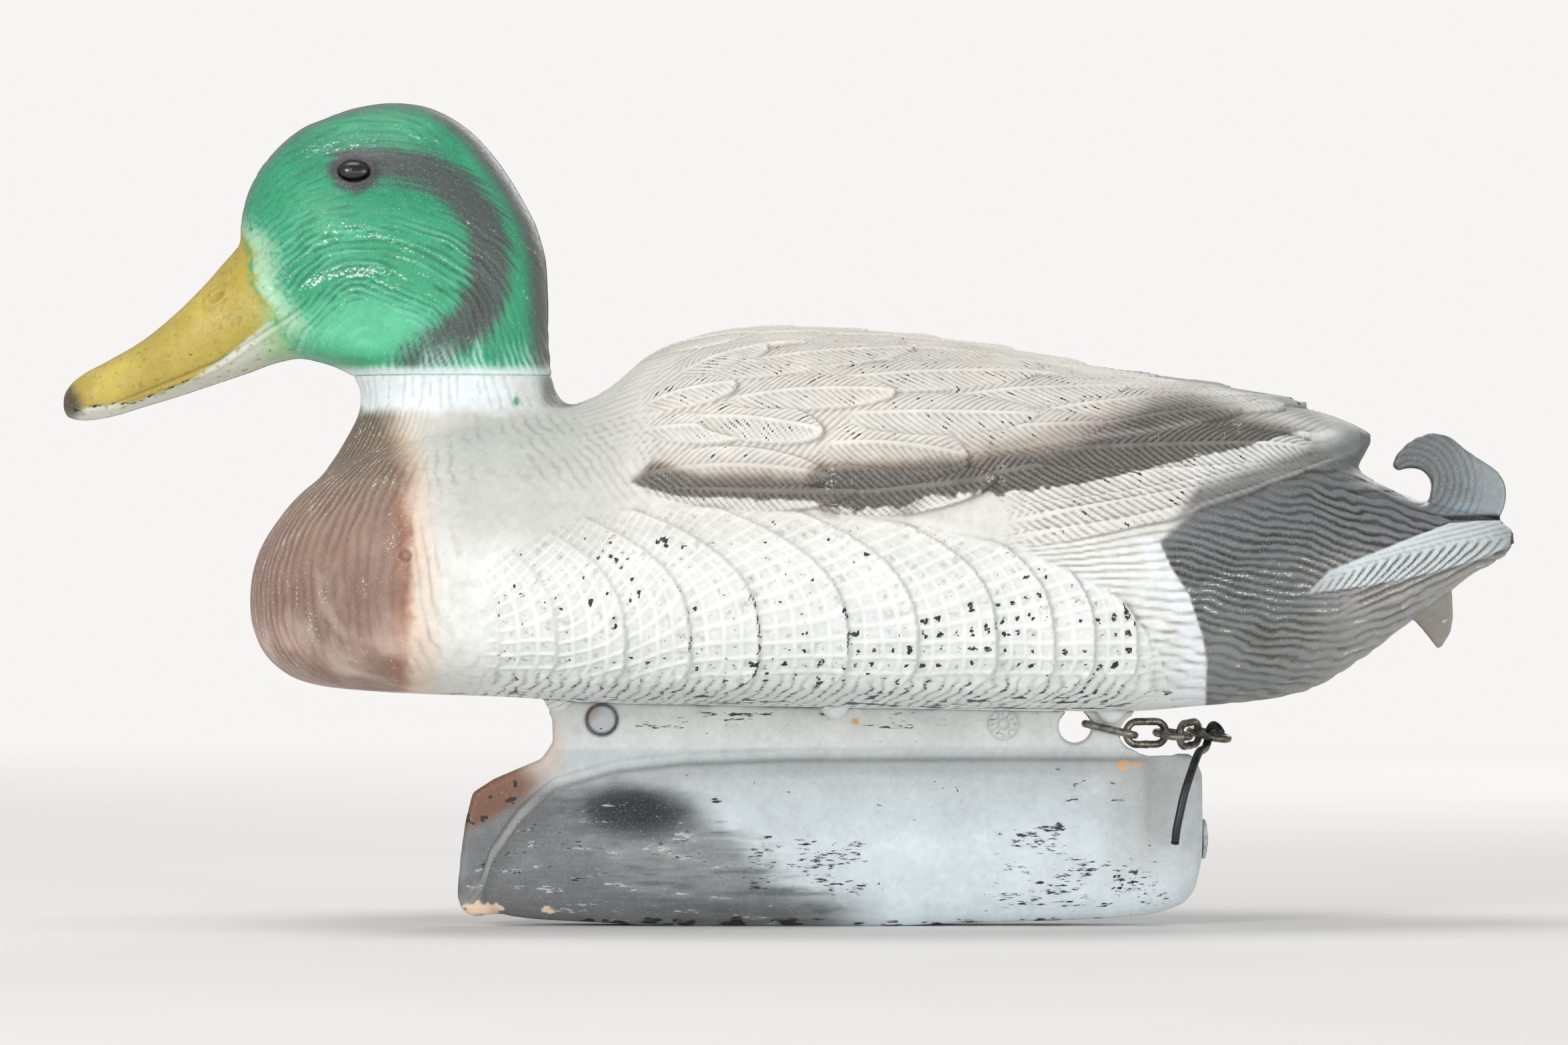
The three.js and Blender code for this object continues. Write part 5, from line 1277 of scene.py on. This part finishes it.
# ---------------------------------------------------------------- paint shader
def paint_material(name, gloss, grain_size, bump, drawn_out, rubbed_tone):
    """Sprayed paint over black plastic, from the mesh's own paint, chip and metallic attributes."""
    material, tree = new_material(name)
    where = node(tree, "TexCoord").outputs["Object"]
    base = node(tree, "Attribute", attribute_name="paint").outputs["Color"]
    chip_value = node(tree, "Attribute", attribute_name="chip").outputs["Fac"]
    sheen = node(tree, "Attribute", attribute_name="metallic").outputs["Fac"]
    cloud = noise_node(tree, where, 90, 4, 0.6)
    grit = noise_node(tree, where, grain_size, 3, 0.6)
    speck = noise_node(tree, where, 2600, 1, 0.5)
    along = node(tree, "VectorMath", {0: where, 1: (drawn_out, 1.0, 1.0)}, operation="MULTIPLY").outputs[0]
    edge_grit = noise_node(tree, along, 1300, 3, 0.65)
    light = node(tree, "MapRange", {0: cloud, 1: 0.3, 2: 0.7, 3: 0.93, 4: 1.05}).outputs[0]
    toned = mix_node(tree, 1.0, base, node(tree, "CombineColor", {0: light, 1: light, 2: light}).outputs[0],
                     "MULTIPLY")
    dust = math_node(tree, "MULTIPLY", step_node(tree, speck, 0.62, 0.74), 0.22)
    toned = mix_node(tree, dust, toned, shade((244, 242, 236)))
    dark_dust = math_node(tree, "MULTIPLY", step_node(tree, grit, 0.64, 0.76), 0.25)
    toned = mix_node(tree, dark_dust, toned, shade((92, 86, 80)))
    rub_value = node(tree, "Attribute", attribute_name="rub").outputs["Fac"]
    rub_grit = noise_node(tree, along, 1600, 3, 0.65)
    rub_edge = math_node(tree, "MULTIPLY", math_node(tree, "SUBTRACT", rub_grit, 0.5), 0.95)
    rubbed = step_node(tree, math_node(tree, "ADD", rub_value, rub_edge), 0.46, 0.56)
    toned = mix_node(tree, math_node(tree, "MULTIPLY", rubbed, 0.85), toned, shade(rubbed_tone))
    ragged_edge = math_node(tree, "MULTIPLY", math_node(tree, "SUBTRACT", edge_grit, 0.5), 0.95)
    bare = step_node(tree, math_node(tree, "ADD", chip_value, ragged_edge), 0.46, 0.56)
    plastic = mix_node(tree, cloud, shade((24, 25, 27)), shade((52, 53, 56)))
    colour = mix_node(tree, bare, toned, plastic)
    rough_paint = node(tree, "MapRange", {0: grit, 1: 0.3, 2: 0.7, 3: gloss - 0.08, 4: gloss + 0.10}).outputs[0]
    rough_bare = math_node(tree, "MULTIPLY", bare, -0.12)
    roughness = math_node(tree, "ADD", rough_paint, rough_bare)
    roughness = math_node(tree, "SUBTRACT", roughness, math_node(tree, "MULTIPLY", sheen, 0.18))
    fine = noise_node(tree, where, 1500, 3, 0.6)
    height = math_node(tree, "ADD", math_node(tree, "MULTIPLY", fine, 0.5), math_node(tree, "MULTIPLY", grit, 0.5))
    height = math_node(tree, "SUBTRACT", height, math_node(tree, "MULTIPLY", bare, 0.8))
    normal_out = node(tree, "Bump", {"Height": height, "Strength": bump, "Distance": 0.00022}).outputs[0]
    surface = node(tree, "BsdfPrincipled", {"Base Color": colour, "Roughness": roughness, "Normal": normal_out,
                                            "Metallic": math_node(tree, "MULTIPLY", sheen, 0.25),
                                            "Specular IOR Level": 0.42})
    tree.links.new(surface.outputs[0], node(tree, "OutputMaterial").inputs[0])
    return material


for piece, settings in ((body, ("body_paint_worn", 0.56, 700, 0.55, 0.7, (214, 212, 207))), (head, ("head_paint_worn", 0.42, 800, 0.5, 0.6, (226, 240, 232))),
                        (keel, ("keel_paint_worn", 0.5, 650, 0.6, 0.22, (196, 199, 198)))):
    piece.data.materials.clear()
    piece.data.materials.append(paint_material(*settings))
    piece.data.polygons.foreach_set("use_smooth", [True] * len(piece.data.polygons))


# ---------------------------------------------------------------- small pieces
def simple_material(name, dark, pale, roughness, metallic, scale, bump, coat=0.0):
    """Two tones mixed by noise, with roughness and bump from noise."""
    material, tree = new_material(name)
    where = node(tree, "TexCoord").outputs["Object"]
    cloud, grit = noise_node(tree, where, scale, 4, 0.6), noise_node(tree, where, scale * 6, 3, 0.6)
    mixed = math_node(tree, "ADD", math_node(tree, "MULTIPLY", cloud, 0.65), math_node(tree, "MULTIPLY", grit, 0.35))
    colour = mix_node(tree, step_node(tree, mixed, 0.38, 0.62), shade(dark), shade(pale))
    rough = node(tree, "MapRange", {0: grit, 1: 0.3, 2: 0.7, 3: roughness * 0.7, 4: roughness * 1.3}).outputs[0]
    normal_out = node(tree, "Bump", {"Height": grit, "Strength": bump, "Distance": 0.0002}).outputs[0]
    surface = node(tree, "BsdfPrincipled", {"Base Color": colour, "Roughness": rough, "Normal": normal_out,
                                            "Metallic": metallic, "Coat Weight": coat, "Coat Roughness": 0.06})
    tree.links.new(surface.outputs[0], node(tree, "OutputMaterial").inputs[0])
    return material


line_mesh.materials.append(simple_material("line_black", (14, 15, 17), (34, 36, 40), 0.34, 0.0, 500, 0.25))

# eyes: smooth glass-like ovals, narrowed towards both ends
cranium_half, cranium_front, cranium_back = (curve(CRANIUM[k]) for k in ("half", "front", "back"))
eye_mid = float(cranium_front(EYE_Z) + cranium_back(EYE_Z)) / 2
eye_span = float(cranium_back(EYE_Z) - cranium_front(EYE_Z)) / 2
eye_y = float(cranium_half(EYE_Z)) * (1 - abs((EYE_X - eye_mid) / eye_span) ** 2.15) ** (1 / 2.15) - 1.0
eye_material = simple_material("eye_black", (2, 2, 3), (8, 8, 9), 0.10, 0.0, 260, 0.8, 0.6)
for name, side in (("eye_left", -1), ("eye_right", 1)):
    verts, faces = ellipsoid((0, 0, 0), (EYE_LENGTH / 2, EYE_DEPTH / 2, EYE_HEIGHT / 2), 72, 48)
    point = 1 - 0.16 * np.clip(np.abs(verts[:, 0]) / (EYE_LENGTH / 2), 0, 1) ** 4
    verts[:, 2] *= point
    verts += (EYE_X, side * eye_y, EYE_Z)
    eye = add_object(name + "_glass", joined_mesh(name + "_glass", [(verts, faces)]))
    eye.data.polygons.foreach_set("use_smooth", [True] * len(eye.data.polygons))
    eye.data.materials.append(eye_material)
    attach(eye, "decoy")
    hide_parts(name)

# plug in the rear end of the keel
PLUG = [(0, 0), (4.3, 0), (4.3, 6.2), (5.75, 6.2), (5.8, 6.35), (5.8, 6.85), (5.6, 7.05), (4.6, 7.35), (4.2, 7.45),
        (3.9, 7.35), (3.7, 7.3), (3.2, 7.45), (2.0, 7.75), (0.9, 7.88), (0, 7.9)]
plug_rings = []
for r, reach in PLUG:
    plug_rings.append([(113.9 + reach, max(r, 0.02) * math.cos(a), FILL_HOLE_Z + max(r, 0.02) * math.sin(a))
                       for a in np.linspace(0, 2 * np.pi, 72, endpoint=False)])
plug = add_object("fill_plug", joined_mesh("fill_plug", [loft(plug_rings)]))
plug.data.polygons.foreach_set("use_smooth", [True] * len(plug.data.polygons))
plug.data.materials.append(simple_material("plug_paint", (150, 155, 157), (206, 212, 214), 0.5, 0.0, 420, 0.5))
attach(plug, "decoy")
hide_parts("keel_fill_plug")

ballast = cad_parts["keel_ballast"]
ballast.data.materials.clear()
ballast.data.materials.append(simple_material("ballast_mortar", (118, 112, 102), (168, 162, 150), 0.85, 0.0, 260, 0.9))

# ---------------------------------------------------------------- chain
LINKS = [
    ("chain_link_1", 17.0, 0, 13, False), ("chain_link_2", 14.6, 20, 0, True), ("chain_link_3", 14.6, -60, 6, False),
    ("chain_link_4", 14.6, 60, -4, True), ("chain_link_5", 14.6, -40, 11, False),
]
steel = simple_material("chain_steel_dull", (84, 78, 71), (158, 150, 140), 0.30, 0.8, 380, 0.45)


def link_mesh(length):
    """Wire link, long axis X, flat in XY, near end wire at the origin, with a weld bead on one leg."""
    reach = (LINK_WIDTH - WIRE) / 2
    straight = length - WIRE - 2 * reach
    lap = 2 * straight + 2 * np.pi * reach
    rings = []
    steps, sides = 132, 20
    for i in range(steps):
        s = lap * i / steps
        if s < straight:
            p, tangent = (reach + s, -reach), (1, 0)
        elif s < straight + np.pi * reach:
            a = (s - straight) / reach - np.pi / 2
            p, tangent = (reach + straight + reach * math.cos(a), reach * math.sin(a)), (-math.sin(a), math.cos(a))
        elif s < 2 * straight + np.pi * reach:
            p, tangent = (reach + straight - (s - straight - np.pi * reach), reach), (-1, 0)
        else:
            a = (s - 2 * straight - np.pi * reach) / reach + np.pi / 2
            p, tangent = (reach + reach * math.cos(a), reach * math.sin(a)), (-math.sin(a), math.cos(a))
        bead = math.exp(-((s - straight / 2) / 0.5) ** 2)
        radius = WIRE / 2 * (1 + 0.10 * bead - 0.03 * (math.sin(s * 1.7) > 0.6))
        ring = []
        for j in range(sides):
            a = 2 * math.pi * j / sides
            out = radius * math.cos(a)
            ring.append((p[0] + tangent[1] * out, p[1] - tangent[0] * out, radius * math.sin(a)))
        rings.append(ring)
    rings = np.array(rings)
    i, j = np.meshgrid(np.arange(steps), np.arange(sides), indexing="ij")
    following, beside = (i + 1) % steps, (j + 1) % sides
    faces = np.stack((i * sides + j, following * sides + j, following * sides + beside, i * sides + beside), -1)
    return rings.reshape(-1, 3), faces.reshape(-1, 4).tolist()


far, last = Vector((ROPE_HOLE[0] + ROPE_HOLE[2] - WIRE / 2 - 0.9, 0, 58.4)), Vector()
for number, (name, length, yaw, pitch, upright) in enumerate(LINKS):
    yaw_r, pitch_r = math.radians(yaw), math.radians(pitch)
    direction = Vector((math.cos(yaw_r) * math.cos(pitch_r), math.sin(yaw_r) * math.cos(pitch_r), -math.sin(pitch_r)))
    near = far - (last if upright else direction) * (HOOK if number else 0)
    turn = Matrix.Rotation(yaw_r, 4, "Z") @ Matrix.Rotation(pitch_r, 4, "Y")
    if upright:
        turn = turn @ Matrix.Rotation(math.pi / 2, 4, "X")
    verts, faces = link_mesh(length)
    verts = [Vector(v) for v in verts]
    verts = np.array([turn @ v + near for v in verts])
    link = add_object(name + "_wire", joined_mesh(name + "_wire", [(verts, faces)]))
    link.data.polygons.foreach_set("use_smooth", [True] * len(link.data.polygons))
    link.data.materials.append(steel)
    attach(link, "link_%d" % (number + 1))
    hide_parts(name)
    far = near + direction * (length - WIRE)
    last = direction

# ---------------------------------------------------------------- floor, world and light
floor_points = [(0, 0, 0)]
FLOOR_RINGS = np.linspace(0.1, 2.6, 26)
verts = [(0, 0, 0)]
faces = []
around = 96
for k, r in enumerate(FLOOR_RINGS):
    for j in range(around):
        a = 2 * math.pi * j / around
        verts.append((r * math.cos(a), r * math.sin(a), 0))
        following = (j + 1) % around
        if k == 0:
            faces.append((0, 1 + j, 1 + following))
        else:
            inner, outer = 1 + (k - 1) * around, 1 + k * around
            faces.append((inner + j, outer + j, outer + following, inner + following))
floor_mesh = bpy.data.meshes.new("floor")
floor_mesh.from_pydata(verts, [], faces)
floor = add_object("floor", floor_mesh)
floor_material, tree = new_material("floor_pale")
where = node(tree, "TexCoord").outputs["Object"]
distance = node(tree, "VectorMath", {0: where}, operation="LENGTH").outputs["Value"]
fade = step_node(tree, distance, 0.5, 1.9)
cloud = noise_node(tree, where, 9, 3, 0.5)
pale = mix_node(tree, cloud, (0.86, 0.855, 0.845, 1), (0.90, 0.895, 0.885, 1))
diffuse = node(tree, "BsdfDiffuse", {"Color": pale})
clear = node(tree, "BsdfTransparent")
mixed = node(tree, "MixShader", {0: fade})
tree.links.new(diffuse.outputs[0], mixed.inputs[1])
tree.links.new(clear.outputs[0], mixed.inputs[2])
tree.links.new(mixed.outputs[0], node(tree, "OutputMaterial").inputs[0])
floor_mesh.materials.append(floor_material)

world = bpy.data.worlds.new("studio")
bpy.context.scene.world = world
world.use_nodes = True
tree = world.node_tree
tree.nodes.clear()
seen = node(tree, "Background", {"Color": (0.925, 0.915, 0.90, 1), "Strength": 1.0})
lighting = node(tree, "Background", {"Color": (1.0, 0.99, 0.975, 1), "Strength": 0.5})
is_seen = node(tree, "LightPath").outputs["Is Camera Ray"]
both = node(tree, "MixShader", {0: is_seen})
tree.links.new(lighting.outputs[0], both.inputs[1])
tree.links.new(seen.outputs[0], both.inputs[2])
tree.links.new(both.outputs[0], node(tree, "OutputWorld").inputs[0])


def area_light(name, place, target, size, watts):
    data = bpy.data.lights.new(name, "AREA")
    data.shape, data.size, data.size_y, data.energy = "RECTANGLE", size[0], size[1], watts
    lamp = bpy.data.objects.new(name, data)
    bpy.context.scene.collection.objects.link(lamp)
    lamp.location = place
    aim = Vector(target) - Vector(place)
    lamp.rotation_euler = aim.to_track_quat("-Z", "Y").to_euler()


area_light("key", (-1.2, -1.7, 0.6), (0, 0, 0.10), (0.55, 0.55), 16.5)
area_light("fill", (1.3, -1.5, 0.22), (0, 0, 0.10), (0.9, 0.5), 8)
area_light("low", (0.1, -1.6, 0.07), (0, 0, 0.04), (1.6, 0.12), 2.6)
area_light("top", (-0.3, -0.1, 1.6), (0, 0, 0.10), (0.9, 0.9), 7)
area_light("rear", (0.5, 1.5, 0.8), (0, 0, 0.11), (0.8, 0.8), 6)
